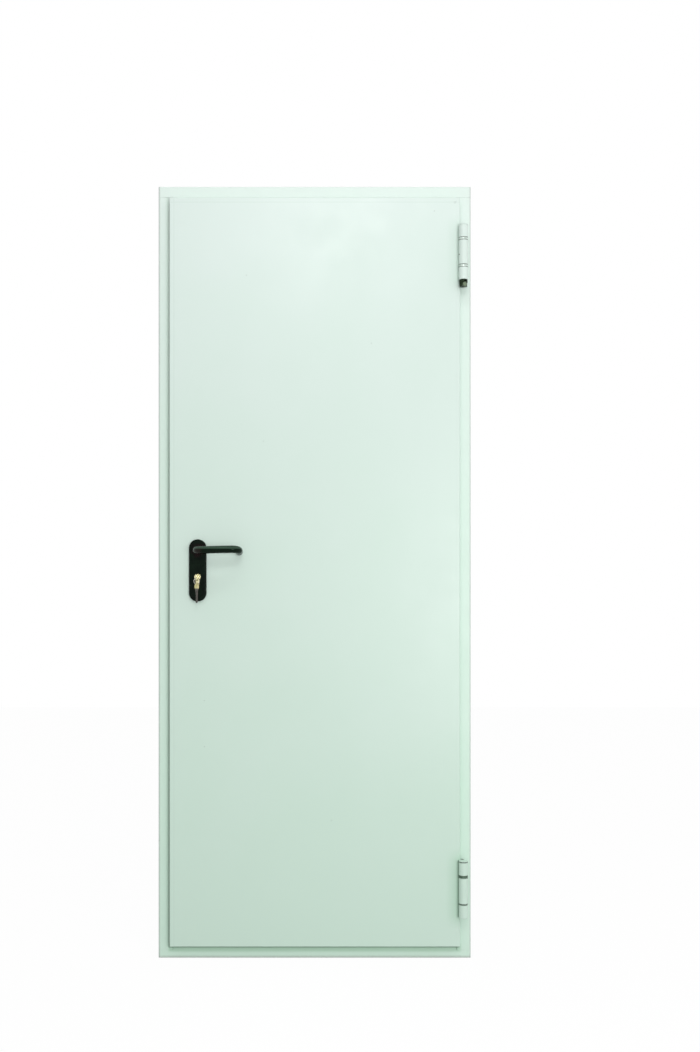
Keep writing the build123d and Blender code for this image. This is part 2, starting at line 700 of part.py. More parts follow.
def spare_key():
    """The second key, which hangs from the ring with its blade down."""
    hole_z = RING_FOOT_Z + RING_WIRE + RING_PLAY - KEY_HOLE_RADIUS
    place = Pos(HANDLE_X, RING_Y, hole_z - KEY_HOLE_OFFSET)
    return place * Rot(0, 0, RING_TURN) * flat_key()


def hinge_pin(z_low, z_high):
    """The pin that carries the three knuckles."""
    return upright(HINGE_PIN_RADIUS, z_low, z_high)


def adjuster():
    """The spring adjuster at the upper hinge's foot: a collar over a hexagon with a socket."""
    foot = TOP_HINGE_FOOT - ADJUSTER_LENGTH
    waist = TOP_HINGE_FOOT - ADJUSTER_COLLAR
    collar = upright(ADJUSTER_RADIUS, waist, TOP_HINGE_FOOT)
    collar = chamfer(collar.edges().filter_by(GeomType.CIRCLE), KNUCKLE_EDGE)
    outline = RegularPolygon(ADJUSTER_HEX_RADIUS, 6)
    hexagon = extrude(outline, waist - foot + KNUCKLE_EDGE)
    socket = extrude(RegularPolygon(ADJUSTER_SOCKET_RADIUS, 6), ADJUSTER_SOCKET_DEPTH)
    nut = Pos(HINGE_X, HINGE_Y, foot) * Rot(0, 0, ADJUSTER_TURN) * (hexagon - socket)
    bar_hole = Cylinder(ADJUSTER_BAR_RADIUS, 2 * ADJUSTER_RADIUS, rotation=(90, 0, 0))
    middle = Pos(HINGE_X, HINGE_Y, (waist + TOP_HINGE_FOOT) / 2)
    return collar + nut - middle * Rot(0, 0, ADJUSTER_TURN) * bar_hole


top_middle = TOP_HINGE_FOOT + OUTER_KNUCKLE + WASHER_HEIGHT
top_upper = top_middle + MIDDLE_KNUCKLE + WASHER_HEIGHT
bottom_middle = BOTTOM_HINGE_FOOT + OUTER_KNUCKLE + WASHER_HEIGHT
bottom_upper = bottom_middle + MIDDLE_KNUCKLE + BEARING_HEIGHT
side_seal_foot = SEAL_FOOT + THRESHOLD_SEAL_HEIGHT
side_seal_top = SEAL_TOP - SEAL_WIDTH
inner_seal_x = SEAL_HALF - SEAL_WIDTH

parts = {
    "frame_lock_jamb": jamb(-1),
    "frame_hinge_jamb": jamb(1),
    "frame_head": cross_member(HEAD_FACE, JAMB_STOP, BACK_FLANGE, FRAME_HEIGHT, HEAD_JOINT_Z),
    "frame_threshold": cross_member(
        THRESHOLD_FACE, THRESHOLD_STOP, THRESHOLD_BACK_FLANGE, 0.0, THRESHOLD_JOINT_RISE
    ),
    "seal_lock_side": seal_strip(-SEAL_HALF, -inner_seal_x, side_seal_foot, side_seal_top),
    "seal_hinge_side": seal_strip(inner_seal_x, SEAL_HALF, side_seal_foot, side_seal_top),
    "seal_head": seal_strip(-SEAL_HALF, SEAL_HALF, side_seal_top, SEAL_TOP),
    "seal_threshold": seal_strip(-SEAL_HALF, SEAL_HALF, SEAL_FOOT, side_seal_foot),
    "leaf_front_skin": leaf_front_skin(),
    "leaf_back_tray": leaf_back_tray(),
    "leaf_core": leaf_core(),
    "leaf_edge_strips": edge_strips(),
    "lock_faceplate": lock_faceplate(),
    "lock_case": lock_case(),
    "latch_bolt": bolt(LEVER_HEIGHT, LATCH_HEIGHT, LATCH_BEVEL),
    "dead_bolt": bolt(DEAD_BOLT_Z, DEAD_BOLT_HEIGHT, 0.0),
    "strike_plate": strike_plate(),
    "strike_box": strike_box(),
    "top_hinge_lower_knuckle": frame_knuckle(TOP_HINGE_FOOT),
    "top_hinge_leaf_knuckle": leaf_knuckle(top_middle),
    "top_hinge_upper_knuckle": frame_knuckle(top_upper),
    "bottom_hinge_lower_knuckle": frame_knuckle(BOTTOM_HINGE_FOOT),
    "bottom_hinge_leaf_knuckle": leaf_knuckle(bottom_middle),
    "bottom_hinge_upper_knuckle": frame_knuckle(bottom_upper),
    "top_hinge_cap": hinge_cap(top_upper + OUTER_KNUCKLE),
    "bottom_hinge_cap": hinge_cap(bottom_upper + OUTER_KNUCKLE),
    "top_hinge_pin": hinge_pin(TOP_HINGE_FOOT, top_upper + OUTER_KNUCKLE),
    "bottom_hinge_pin": hinge_pin(BOTTOM_HINGE_FOOT, bottom_upper + OUTER_KNUCKLE),
    "top_hinge_washers": Compound(
        children=[
            ring_round_pin(WASHER_RADIUS, TOP_HINGE_FOOT + OUTER_KNUCKLE, WASHER_HEIGHT),
            ring_round_pin(WASHER_RADIUS, top_middle + MIDDLE_KNUCKLE, WASHER_HEIGHT),
        ]
    ),
    "bottom_hinge_bearing": Compound(
        children=[
            ring_round_pin(WASHER_RADIUS, BOTTOM_HINGE_FOOT + OUTER_KNUCKLE, WASHER_HEIGHT),
            ring_round_pin(BEARING_RADIUS, bottom_middle + MIDDLE_KNUCKLE, BEARING_HEIGHT),
        ]
    ),
    "top_hinge_adjuster": adjuster(),
    "front_handle_plate": handle_plate(True),
    "back_handle_plate": handle_plate(False),
    "front_lever": lever(True),
    "back_lever": lever(False),
    "lever_spindle": lever_spindle(),
    "lock_cylinder": lock_cylinder(),
    "cylinder_plug": cylinder_plug(),
    "back_plug": back_plug(),
    "key": key(),
    "key_ring": key_ring(),
    "spare_key": spare_key(),
}
for name, solid in parts.items():
    export_step(solid, f"parts/{name}.step")
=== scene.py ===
"""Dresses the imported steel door: its finishes, small trim, studio light and camera."""

import logging
import math
from dataclasses import dataclass, replace
from enum import Enum

import bpy
import numpy as np
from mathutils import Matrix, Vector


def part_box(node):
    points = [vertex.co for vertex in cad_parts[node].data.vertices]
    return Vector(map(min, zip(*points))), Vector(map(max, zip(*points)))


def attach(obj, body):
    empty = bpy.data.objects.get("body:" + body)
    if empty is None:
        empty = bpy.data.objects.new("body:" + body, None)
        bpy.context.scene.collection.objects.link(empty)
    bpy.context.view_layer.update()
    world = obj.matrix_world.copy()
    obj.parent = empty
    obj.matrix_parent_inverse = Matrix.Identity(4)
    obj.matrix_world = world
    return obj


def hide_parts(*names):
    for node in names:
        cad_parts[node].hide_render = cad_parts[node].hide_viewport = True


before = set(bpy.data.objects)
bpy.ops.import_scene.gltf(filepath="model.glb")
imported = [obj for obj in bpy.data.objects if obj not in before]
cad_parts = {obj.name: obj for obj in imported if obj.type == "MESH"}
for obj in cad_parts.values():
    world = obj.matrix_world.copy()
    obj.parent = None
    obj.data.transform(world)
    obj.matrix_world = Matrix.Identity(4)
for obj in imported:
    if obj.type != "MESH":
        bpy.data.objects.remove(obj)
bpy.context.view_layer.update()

LOG = logging.getLogger("steel_door")

Material = bpy.types.Material
Socket = bpy.types.NodeSocket
Pair = tuple[float, float]
Triple = tuple[float, float, float]

MM = 0.001
WHITE = (1.0, 1.0, 1.0, 1.0)
EVEN = (1, 1, 1)
# Nearly all of Blender's noise lies between these two values.
NOISE_RANGE = (0.3, 0.7)
# The upper part of the noise, which leaves stains as islands.
STAIN_RANGE = (0.45, 0.75)
# How many finer layers a noise has.
SOFT, MIXED, FINE = 2.0, 3.0, 4.0
# The numbers of a Mix node's colour sockets; their names occur more than once on it.
MIX_SHARE, MIX_FIRST, MIX_SECOND, MIX_RESULT = 0, 6, 7, 2
# The least and the greatest factor on a spot's radius.
RAGGED = (0.6, 1.4)
# The heights in metres between which the painted shade at the edges fades.
SHADE_FADE_HEIGHTS = (0.2, 2.0)
# How far a screw's flat top lies under the face of its plate.
SCREW_SUNK_MM = 0.02


class Body(Enum):
    """The moving bodies that the new pieces ride on."""

    FRAME = "frame"
    LEAF = "leaf"


def linear(hex_colour: str) -> tuple[float, float, float, float]:
    """Turn an sRGB hex colour to the linear values that a shader takes.

    Args:
        hex_colour: Six hex digits, with or without a leading hash.

    Returns:
        Linear red, green, blue and an alpha of one.
    """
    digits = hex_colour.lstrip("#")
    shares = [int(digits[i:i + 2], 16) / 255 for i in (0, 2, 4)]
    turned = [s / 12.92 if s <= 0.04045 else ((s + 0.055) / 1.055) ** 2.4 for s in shares]
    return (*turned, 1.0)


def add_node(
    tree: bpy.types.NodeTree, kind: str, inputs: dict | None = None, **settings: object
) -> bpy.types.Node:
    """Add one shader node with its settings and its links.

    Args:
        tree: The node tree that takes the node.
        kind: The kind of node, as Blender names it after ShaderNode.
        inputs: Socket name or number to a value, or to an output socket to link from.
        **settings: The node's own settings.

    Returns:
        The new node.
    """
    node = tree.nodes.new(f"ShaderNode{kind}")
    for name, value in settings.items():
        setattr(node, name, value)
    for name, value in (inputs or {}).items():
        if isinstance(value, Socket):
            tree.links.new(value, node.inputs[name])
        else:
            node.inputs[name].default_value = value
    return node


@dataclass(frozen=True)
class Scuff:
    """A small knock or rub: where it is across and up, its radius, and how strongly it shows."""

    x_mm: float
    z_mm: float
    radius_mm: float = 2.0
    depth: float = 0.35


class Shader:
    """A new material with one surface shader, its base colour so far, and the patterns that feed it."""

    def __init__(self, name: str, **constants: object) -> None:
        """Make the material and set the values that are the same all over it.

        Args:
            name: The finish's name.
            **constants: Values of the surface shader's own sockets, spaces written as underscores.
        """
        self.material = bpy.data.materials.new(name)
        self.material.use_nodes = True
        self.tree = self.material.node_tree
        self.surface = self.tree.nodes["Principled BSDF"]
        for socket, value in constants.items():
            self.surface.inputs[socket.replace("_", " ")].default_value = value
        self.place = add_node(self.tree, "TexCoord").outputs["Object"]
        self.x, _, self.z = add_node(self.tree, "SeparateXYZ", {0: self.place}).outputs
        self.colour: Socket | tuple = WHITE

    def noise(self, size_mm: float, detail: float = SOFT, stretch: Triple = EVEN) -> Socket:
        """Noise whose grains are about a real size across.

        Args:
            size_mm: The size of one grain in millimetres.
            detail: How many finer layers are added.
            stretch: Scale along each axis; under one draws the grains out along it.

        Returns:
            The noise as a value around one half.
        """
        mapped = add_node(self.tree, "Mapping", {"Vector": self.place, "Scale": stretch})
        inputs = {"Vector": mapped.outputs[0], "Scale": 1 / (size_mm * MM), "Detail": detail}
        return add_node(self.tree, "TexNoise", inputs).outputs[0]

    def ramp(
        self, value: Socket, low: float, high: float, to_low: float = 0.0, to_high: float = 1.0
    ) -> Socket:
        """Stretch a value's range to another, held at both ends.

        Args:
            value: The value to stretch.
            low: What becomes to_low.
            high: What becomes to_high.
            to_low: The first end of the new range.
            to_high: The second end of the new range.

        Returns:
            The stretched value.
        """
        inputs = {"Value": value, "From Min": low, "From Max": high, "To Min": to_low, "To Max": to_high}
        return add_node(self.tree, "MapRange", inputs).outputs[0]

    def vary(self, noise: Socket, low: float, high: float) -> Socket:
        """Let a noise wander between two values."""
        return self.ramp(noise, *NOISE_RANGE, low, high)

    def sum(self, kind: str, first: object, second: object) -> Socket:
        """One sum of two values, such as MULTIPLY or MAXIMUM."""
        return add_node(self.tree, "Math", {0: first, 1: second}, operation=kind).outputs[0]

    def mix(self, share: Socket, first: object, second: object) -> Socket:
        """Mix two colours, of which a share of zero gives the first alone."""
        inputs = {MIX_SHARE: share, MIX_FIRST: first, MIX_SECOND: second}
        return add_node(self.tree, "Mix", inputs, data_type="RGBA", clamp_factor=True).outputs[MIX_RESULT]

    def tint(self, share: Socket, tint: str, strength: object = 1.0) -> None:
        """Lay a hex colour over the base colour, by a pattern's share times a strength."""
        self.colour = self.mix(self.sum("MULTIPLY", share, strength), self.colour, linear(tint))

    def mark(self, marks: tuple[Scuff, ...], tint: str) -> None:
        """Lay small spots of one hex colour over the base colour."""
        for mark in marks:
            self.tint(self.spot(mark.x_mm * MM, mark.z_mm * MM, mark.radius_mm * MM), tint, mark.depth)

    def near(self, value: Socket, place: float, reach: float) -> Socket:
        """A line across an axis: one within a third of its reach, falling to zero at the reach.

        Args:
            value: The place along the axis, in metres.
            place: Where the line's middle is.
            reach: How far from its middle the line ends.

        Returns:
            The line as a value from zero to one.
        """
        off = self.sum("ABSOLUTE", self.sum("SUBTRACT", value, place), 0.0)
        return self.ramp(off, reach, reach / 3)

    def spot(self, x: float, z: float, reach: float) -> Socket:
        """A ragged round spot on an upright face, one at its middle and zero past its reach.

        Args:
            x: Its middle along X, in metres.
            z: Its middle along Z.
            reach: Its radius.

        Returns:
            The spot as a value from zero to one.
        """
        across = self.sum("SUBTRACT", self.x, x)
        along = self.sum("SUBTRACT", self.z, z)
        squares = self.sum("ADD", self.sum("MULTIPLY", across, across), self.sum("MULTIPLY", along, along))
        ragged = self.vary(self.noise(reach / MM, MIXED), *RAGGED)
        return self.ramp(self.sum("MULTIPLY", self.sum("SQRT", squares, 0.0), ragged), reach, reach / 2)

    def patch(self, low: Pair, high: Pair, soft: float) -> Socket:
        """A rectangle on an upright face, one inside and falling to zero outside its edges.

        Args:
            low: The least X and Z in metres.
            high: The greatest X and Z.
            soft: How far outside it reaches zero.

        Returns:
            The rectangle as a value from zero to one.
        """
        spans = []
        for value, first, last in zip((self.x, self.z), low, high):
            after = self.ramp(value, first - soft, first)
            spans.append(self.sum("MULTIPLY", after, self.ramp(value, last + soft, last)))
        return self.sum("MULTIPLY", *spans)

    def bump(self, height: Socket, depth_mm: float, under: Socket | None = None) -> Socket:
        """A bump of a real depth, laid over another.

        Args:
            height: The height as a value from zero to one.
            depth_mm: How far one stands above zero, in millimetres.
            under: The normal of a bump below this one.

        Returns:
            The bumped normal.
        """
        inputs = {"Height": height, "Distance": depth_mm * MM, "Strength": 1.0}
        if under is not None:
            inputs["Normal"] = under
        return add_node(self.tree, "Bump", inputs).outputs[0]

    def finish(self, **sockets: Socket) -> Material:
        """Link the base colour and the patterns to the surface shader.

        Args:
            **sockets: What feeds each other socket, by its name.

        Returns:
            The finished material.
        """
        for name, output in {"Base Color": self.colour, **sockets}.items():
            self.tree.links.new(output, self.surface.inputs[name])
        return self.material


@dataclass(frozen=True)
class PowderCoat:
    """Polyester powder coat, sprayed and baked on sheet steel: a satin skin with a fine orange peel.

    The eye gets a soft, wide highlight, a tone that drifts slowly, and a painted highlight: the colour is
    paler and greyer towards the top.
    """

    name: str
    # The colours at the top and at the foot; the paler top is a painted highlight.
    paler_top: str
    greener_foot: str
    roughness: float = 0.42
    peel_mm: float = 2.6
    peel_depth_mm: float = 0.012
    knock: str = "#8C9A90"
    scuffs: tuple[Scuff, ...] = ()
    # The heights between which the painted highlight pales the colour.
    paling_heights: Pair = (0.35, 2.1)
    drift_mm: float = 260.0
    drift_share: float = 0.1
    rub_mm: float = 55.0
    smoother: float = 0.04
    rougher: float = 0.05
    ior: float = 1.5

    def detail(self, shader: Shader) -> Socket | None:
        """Add the lines of one kind of work, and give the normal under the peel; the plain coat has none."""
        return None

    def make(self) -> Material:
        """Build the material: a colour that pales towards the top as a painted highlight, slow mottling,
        knocks, peel in the bump.

        Returns:
            The finished material.
        """
        shader = Shader(self.name, IOR=self.ior)
        # Painted highlight: the colour pales from the foot to the top.
        height = shader.ramp(shader.z, *self.paling_heights)
        drift = shader.vary(shader.noise(self.drift_mm, MIXED), -self.drift_share, self.drift_share)
        shader.colour = shader.mix(shader.sum("ADD", height, drift), linear(self.greener_foot), linear(self.paler_top))
        under = self.detail(shader)
        shader.mark(self.scuffs, self.knock)
        smoothest, roughest = self.roughness - self.smoother, self.roughness + self.rougher
        return shader.finish(
            Roughness=shader.vary(shader.noise(self.rub_mm, FINE), smoothest, roughest),
            Normal=shader.bump(shader.noise(self.peel_mm), self.peel_depth_mm, under),
        )


@dataclass(frozen=True)
class LeafCoat(PowderCoat):
    """The leaf's coat: a slightly waved sheet, with painted shade on the edges that look left and down and
    beside the hinges.
    """

    fold_inset_mm: float = 13.0
    fold_line_mm: float = 1.2
    fold_share: float = 0.3
    fold_depth_mm: float = 0.05
    # Painted shade in the fold's shallow groove.
    fold_shade: str = "#B7CCC0"
    # Painted shade on the edges that face away from the lamps, and in the line along each hinge.
    edge_shade: str = "#4A6E58"
    edge_mm: float = 2.6
    edge_fading: Pair = (0.7, 0.4)
    edge_top_insets: float = 1.5
    # Painted shadow that each hinge casts on the leaf, with a darker line of painted shade along its barrel.
    hinge_shadow: str = "#9CC7A9"
    hinge_shadow_mm: float = 34.0
    hinge_line_mm: float = 1.6
    hinge_line_share: float = 1.6
    hinge_shadows: tuple[tuple[str, float], ...] = (("bottom_hinge", 0.42), ("top_hinge", 0.15))
    wave_mm: float = 230.0
    wave_depth_mm: float = 0.3

    def darken_edges(self, shader: Shader) -> None:
        """Paint shade on the edges that look left and down, stronger near the floor.

        Args:
            shader: The material in the making.
        """
        low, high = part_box("leaf_front_skin")
        inset, edge = self.fold_inset_mm * MM, self.edge_mm * MM
        left = shader.ramp(shader.x, low[0] + edge, low[0] + edge / 2)
        under_top = shader.ramp(shader.z, high[2] - inset, high[2] - self.edge_top_insets * inset)
        foot = shader.ramp(shader.z, low[2] + edge, low[2] + edge / 2)
        both = shader.sum("MAXIMUM", shader.sum("MULTIPLY", left, under_top), foot)
        # Painted shade: these edges face away from the lamps.
        shader.tint(both, self.edge_shade, shader.ramp(shader.z, *SHADE_FADE_HEIGHTS, *self.edge_fading))

    def line_hinges(self, shader: Shader) -> None:
        """Paint the shadow and the dark line of shade that each hinge's barrel casts on the leaf beside it.

        Args:
            shader: The material in the making.
        """
        for hinge, strength in self.hinge_shadows:
            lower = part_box(f"{hinge}_lower_knuckle")[0]
            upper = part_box(f"{hinge}_upper_knuckle")[1]
            ends = ((lower[0], lower[2]), (upper[0], upper[2]))
            # Painted shadow of the hinge, then the line of painted shade along its barrel.
            shader.tint(shader.patch(*ends, self.hinge_shadow_mm * MM), self.hinge_shadow, strength)
            line = shader.patch(*ends, self.hinge_line_mm * MM)
            shader.tint(line, self.edge_shade, self.hinge_line_share * strength)

    def detail(self, shader: Shader) -> Socket:
        """Draw the fold's faint line with its painted shade, the painted shade at the edges and hinges, and
        the sheet's slow waves.

        Args:
            shader: The material in the making.

        Returns:
            The normal of the fold and the waves.
        """
        low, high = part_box("leaf_front_skin")
        inset, reach = self.fold_inset_mm * MM, self.fold_line_mm * MM
        side = shader.near(shader.x, low[0] + inset, reach)
        fold = shader.sum("MAXIMUM", side, shader.near(shader.z, high[2] - inset, reach))
        # Painted shade in the fold's groove.
        shader.tint(fold, self.fold_shade, self.fold_share)
        self.darken_edges(shader)
        self.line_hinges(shader)
        waves = shader.bump(shader.noise(self.wave_mm), self.wave_depth_mm)
        return shader.bump(fold, -self.fold_depth_mm, waves)


@dataclass(frozen=True)
class FrameCoat(PowderCoat):
    """The frame's coat, with faint joint lines, painted shade beside the leaf and on its outer bends, and a
    greyer foot.
    """

    joint_tint: str = "#8FA196"
    joint_line_mm: float = 1.0
    joint_grain_mm: float = 18.0
    joint_range: Pair = (0.4, 0.7)
    joint_share: float = 0.5
    corner_blend_mm: float = 0.2
    # A grey that deepens in streaks towards the foot.
    foot_grey: str = "#B4BDB5"
    foot_grey_top_mm: float = 9.0
    foot_grey_full_mm: float = 2.0
    foot_grey_share: float = 0.7
    streak_mm: float = 9.0
    streak_stretch: Triple = (1, 1, 3)
    streak_reach_mm: float = 1.0
    # Painted shade that the leaf casts on the frame to its left and below it, in green.
    leaf_shade: str = "#ACD4B7"
    leaf_shade_mm: float = 7.0
    leaf_shade_left_share: float = 0.15
    leaf_shade_below_share: float = 0.6
    # Painted shadow: a thin dark line on the frame along the leaf's left and lower edges.
    leaf_shadow_line: str = "#4A7058"
    shadow_line_width_mm: float = 1.6
    shadow_line_left_mm: float = 2.6
    shadow_line_below_mm: float = 5.8
    shadow_line_top_gap_mm: float = 33.0
    shadow_line_fading: Pair = (0.35, 0.1)
    # Painted shade on the outer bends, which turn away from the lamps.
    edge: str = "#B4BCB6"
    edge_mm: float = 6.0
    edge_share: float = 0.55

    def line_joints(self, shader: Shader) -> None:
        """Lay the worn joint lines between the jambs and the cross members, on the faces only.

        Args:
            shader: The material in the making.
        """
        low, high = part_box("frame_lock_jamb")
        web = abs(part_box("strike_plate")[1][0])
        across = shader.sum("ABSOLUTE", shader.x, 0.0)
        on_face = shader.ramp(across, web, web + self.corner_blend_mm * MM)
        lines = [shader.near(shader.z, place, self.joint_line_mm * MM) for place in (low[2], high[2])]
        line = shader.sum("MULTIPLY", shader.sum("MAXIMUM", *lines), on_face)
        grain = shader.noise(self.joint_grain_mm, MIXED)
        shader.tint(line, self.joint_tint, shader.ramp(grain, *self.joint_range, 0.0, self.joint_share))

    def line_leaf(self, shader: Shader) -> None:
        """Paint the leaf's green shade and the thin dark line of its shadow on the frame, to the left of the
        leaf and under it.

        The line starts where the frame comes out from behind the leaf as seen from the front.

        Args:
            shader: The material in the making.
        """
        low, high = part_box("leaf_front_skin")
        reach, width = self.leaf_shade_mm * MM, self.shadow_line_width_mm * MM
        left = shader.patch((low[0] - reach, low[2]), (low[0], high[2]), reach)
        below = shader.patch((low[0], low[2] - 2 * reach), (high[0], low[2]), reach)
        left = shader.sum("MULTIPLY", left, self.leaf_shade_left_share)
        below = shader.sum("MULTIPLY", below, self.leaf_shade_below_share)
        # Painted shade of the leaf, then the thin line of its painted shadow.
        shader.tint(shader.sum("MAXIMUM", left, below), self.leaf_shade)
        left_x, top = low[0] - self.shadow_line_left_mm * MM, high[2] - self.shadow_line_top_gap_mm * MM
        below_z = low[2] - self.shadow_line_below_mm * MM
        left = shader.patch((left_x - width, below_z), (left_x, top), MM)
        below = shader.patch((left_x, below_z - width), (high[0] - width, below_z), MM)
        fading = shader.ramp(shader.z, *SHADE_FADE_HEIGHTS, *self.shadow_line_fading)
        shader.tint(shader.sum("MAXIMUM", left, below), self.leaf_shadow_line, fading)

    def detail(self, shader: Shader) -> None:
        """Draw the joint lines, the painted shade and shadow beside the leaf, the painted shade on the outer
        bends and the grey at the foot.

        Args:
            shader: The material in the making.
        """
        self.line_joints(shader)
        self.line_leaf(shader)
        # Painted shade on the jambs' outer bends.
        outer_x = -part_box("frame_lock_jamb")[0][0]
        across = shader.sum("ABSOLUTE", shader.x, 0.0)
        outer = shader.ramp(across, outer_x - self.edge_mm * MM, outer_x - MM)
        shader.tint(outer, self.edge, self.edge_share)
        # Greyer in streaks towards the foot.
        reach = self.streak_reach_mm * MM
        streaks = shader.vary(shader.noise(self.streak_mm, FINE, self.streak_stretch), -reach, reach)
        height = shader.sum("ADD", shader.z, streaks)
        greyed_foot = shader.ramp(height, self.foot_grey_top_mm * MM, self.foot_grey_full_mm * MM, 0.0, self.foot_grey_share)
        shader.tint(greyed_foot, self.foot_grey)


@dataclass(frozen=True)
class RubbedRing:
    """A dark ring rubbed into the paint of a barrel: its height, half width and strength."""

    z_mm: float
    reach_mm: float
    share: float


@dataclass(frozen=True)
class HingeCoat(PowderCoat):
    """The knuckles' coat, rubbed dark where they turn against each other and chipped at the edge."""

    rubbed: str = "#4B5A50"
    rings: tuple[RubbedRing, ...] = ()
    ring_grain_mm: float = 3.0
    ring_range: Pair = (0.35, 0.6)
    ring_unevenness: float = 0.3

    def detail(self, shader: Shader) -> None:
        """Draw a dark rubbed ring at each joint between knuckles.

        Args:
            shader: The material in the making.
        """
        for ring in self.rings:
            grain = shader.noise(self.ring_grain_mm, MIXED)
            ragged = shader.ramp(grain, *self.ring_range, ring.share - self.ring_unevenness, ring.share)
            shader.tint(shader.near(shader.z, ring.z_mm * MM, ring.reach_mm * MM), self.rubbed, ragged)


@dataclass(frozen=True)
class BlackNylon:
    """Glass-filled nylon, injection moulded over a steel core, with a lightly spark-eroded skin.

    The eye gets a near black with a green cast, which hands turn smoother and a little paler; a brown spot
    at the neck is a painted reflection, a pale band on top a painted highlight.
    """

    name: str = "moulded_black_nylon"
    colour: str = "#06100A"
    worn: str = "#0E1C12"
    reflection: float = 0.055
    sheen: str = "#FFFFFF"
    smoothest: float = 0.25
    roughest: float = 0.36
    grain_depth_mm: float = 0.03
    grain_mm: float = 0.7
    wear_mm: float = 14.0
    wear_range: Pair = (0.4, 0.7)
    gloss_mm: float = 9.0
    # Painted reflection: the warm brown spot around the lever's neck.
    rubbed: str = "#241417"
    wear_and_sheen_spots: tuple[Scuff, ...] = ()
    # Painted highlight: a pale green band along the lever's upper side.
    lever_highlight: str = "#3C5043"
    highlight_z_mm: float = 0.0
    highlight_reach_mm: float = 4.5
    highlight_share: float = 0.0
    ior: float = 1.53

    def make(self) -> Material:
        """Build the material: a fine moulded grain, a little gloss, a painted brown reflection and a painted
        highlight along the upper side.

        Returns:
            The finished material.
        """
        shader = Shader(
            self.name, IOR=self.ior, Specular_IOR_Level=self.reflection, Specular_Tint=linear(self.sheen)
        )
        wear = shader.ramp(shader.noise(self.wear_mm, MIXED), *self.wear_range)
        shader.colour = shader.mix(wear, linear(self.colour), linear(self.worn))
        # Painted reflection in brown around the lever's neck.
        shader.mark(self.wear_and_sheen_spots, self.rubbed)
        # Painted highlight along the upper side.
        highlight_band = shader.near(shader.z, self.highlight_z_mm * MM, self.highlight_reach_mm * MM)
        shader.tint(highlight_band, self.lever_highlight, self.highlight_share)
        return shader.finish(
            Roughness=shader.vary(shader.noise(self.gloss_mm, MIXED), self.smoothest, self.roughest),
            Normal=shader.bump(shader.noise(self.grain_mm), self.grain_depth_mm),
        )


@dataclass(frozen=True)
class Metal:
    """A bare metal: stains in its colour, and fine tool marks that break up its reflections."""

    name: str
    colour: str
    stain: str
    roughness: float = 0.3
    marks_mm: float = 0.4
    stretch: Triple = EVEN
    depth_mm: float = 0.01
    stain_mm: float = 11.0
    bared_and_lit: str = "#9DAF93"
    wear_and_sheen_spots: tuple[Scuff, ...] = ()
    smoother: float = 0.06
    rougher: float = 0.1

    def wear(self, shader: Shader, marks: Socket) -> None:
        """Lay the pale spots of wear and painted highlight over the colour; the tool marks may fray them."""
        shader.mark(self.wear_and_sheen_spots, self.bared_and_lit)

    def make(self) -> Material:
        """Build the material: stains and wear in its colour, tool marks in gloss and bump.

        Returns:
            The finished material.
        """
        shader = Shader(self.name, Metallic=1.0)
        stains = shader.ramp(shader.noise(self.stain_mm, FINE), *STAIN_RANGE)
        shader.colour = shader.mix(stains, linear(self.colour), linear(self.stain))
        marks = shader.noise(self.marks_mm, MIXED, self.stretch)
        self.wear(shader, marks)
        return shader.finish(
            Roughness=shader.vary(marks, self.roughness - self.smoother, self.roughness + self.rougher),
            Normal=shader.bump(marks, self.depth_mm),
        )


@dataclass(frozen=True)
class KeyMetal(Metal):
    """A nickel-plated key: grey along its blade, rubbed through to pale brass on its bow."""

    bow: str = "#D6CB98"
    shoulder_z: float = 0.0
    edge_mm: float = 0.5
    blend_mm: float = 1.5

    def wear(self, shader: Shader, marks: Socket) -> None:
        """Lay brass over the nickel above the key's shoulder.

        Args:
            shader: The material in the making.
            marks: The noise of the tool marks, which frays the edge of the plating.
        """
        edge, blend = self.edge_mm * MM, self.blend_mm * MM
        frayed = shader.sum("ADD", shader.z, shader.vary(marks, -edge, edge))
        shader.tint(shader.ramp(frayed, self.shoulder_z - blend, self.shoulder_z + blend), self.bow)


@dataclass(frozen=True)
class Matt:
    """A dull soft or fibrous surface, such as foam rubber: no highlight, two close tones in its grain."""

    name: str
    colour: str
    second: str
    grain_mm: float
    depth_mm: float
    roughness: float = 0.85
    stretch: Triple = EVEN
    tone_range: Pair = (0.35, 0.65)
    ior: float = 1.45

    def make(self) -> Material:
        """Build the material: two tones and a bump from the same grain.

        Returns:
            The finished material.
        """
        shader = Shader(self.name, IOR=self.ior, Roughness=self.roughness)
        grain = shader.noise(self.grain_mm, FINE, self.stretch)
        tone = shader.ramp(grain, *self.tone_range)
        shader.colour = shader.mix(tone, linear(self.colour), linear(self.second))
        return shader.finish(Normal=shader.bump(grain, self.depth_mm))


def dress(nodes: tuple[str, ...], material: Material) -> None:
    """Give CAD nodes a material.

    Args:
        nodes: The nodes' names.
        material: What fills their material slots.
    """
    for name in nodes:
        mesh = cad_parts[name].data
        if not mesh.materials:
            mesh.materials.append(material)
        for i in range(len(mesh.materials)):
            mesh.materials[i] = material


def corners(name: str) -> tuple[np.ndarray, np.ndarray]:
    """The lowest and the highest corner of a CAD node's box, in metres."""
    low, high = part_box(name)
    return np.array(low), np.array(high)


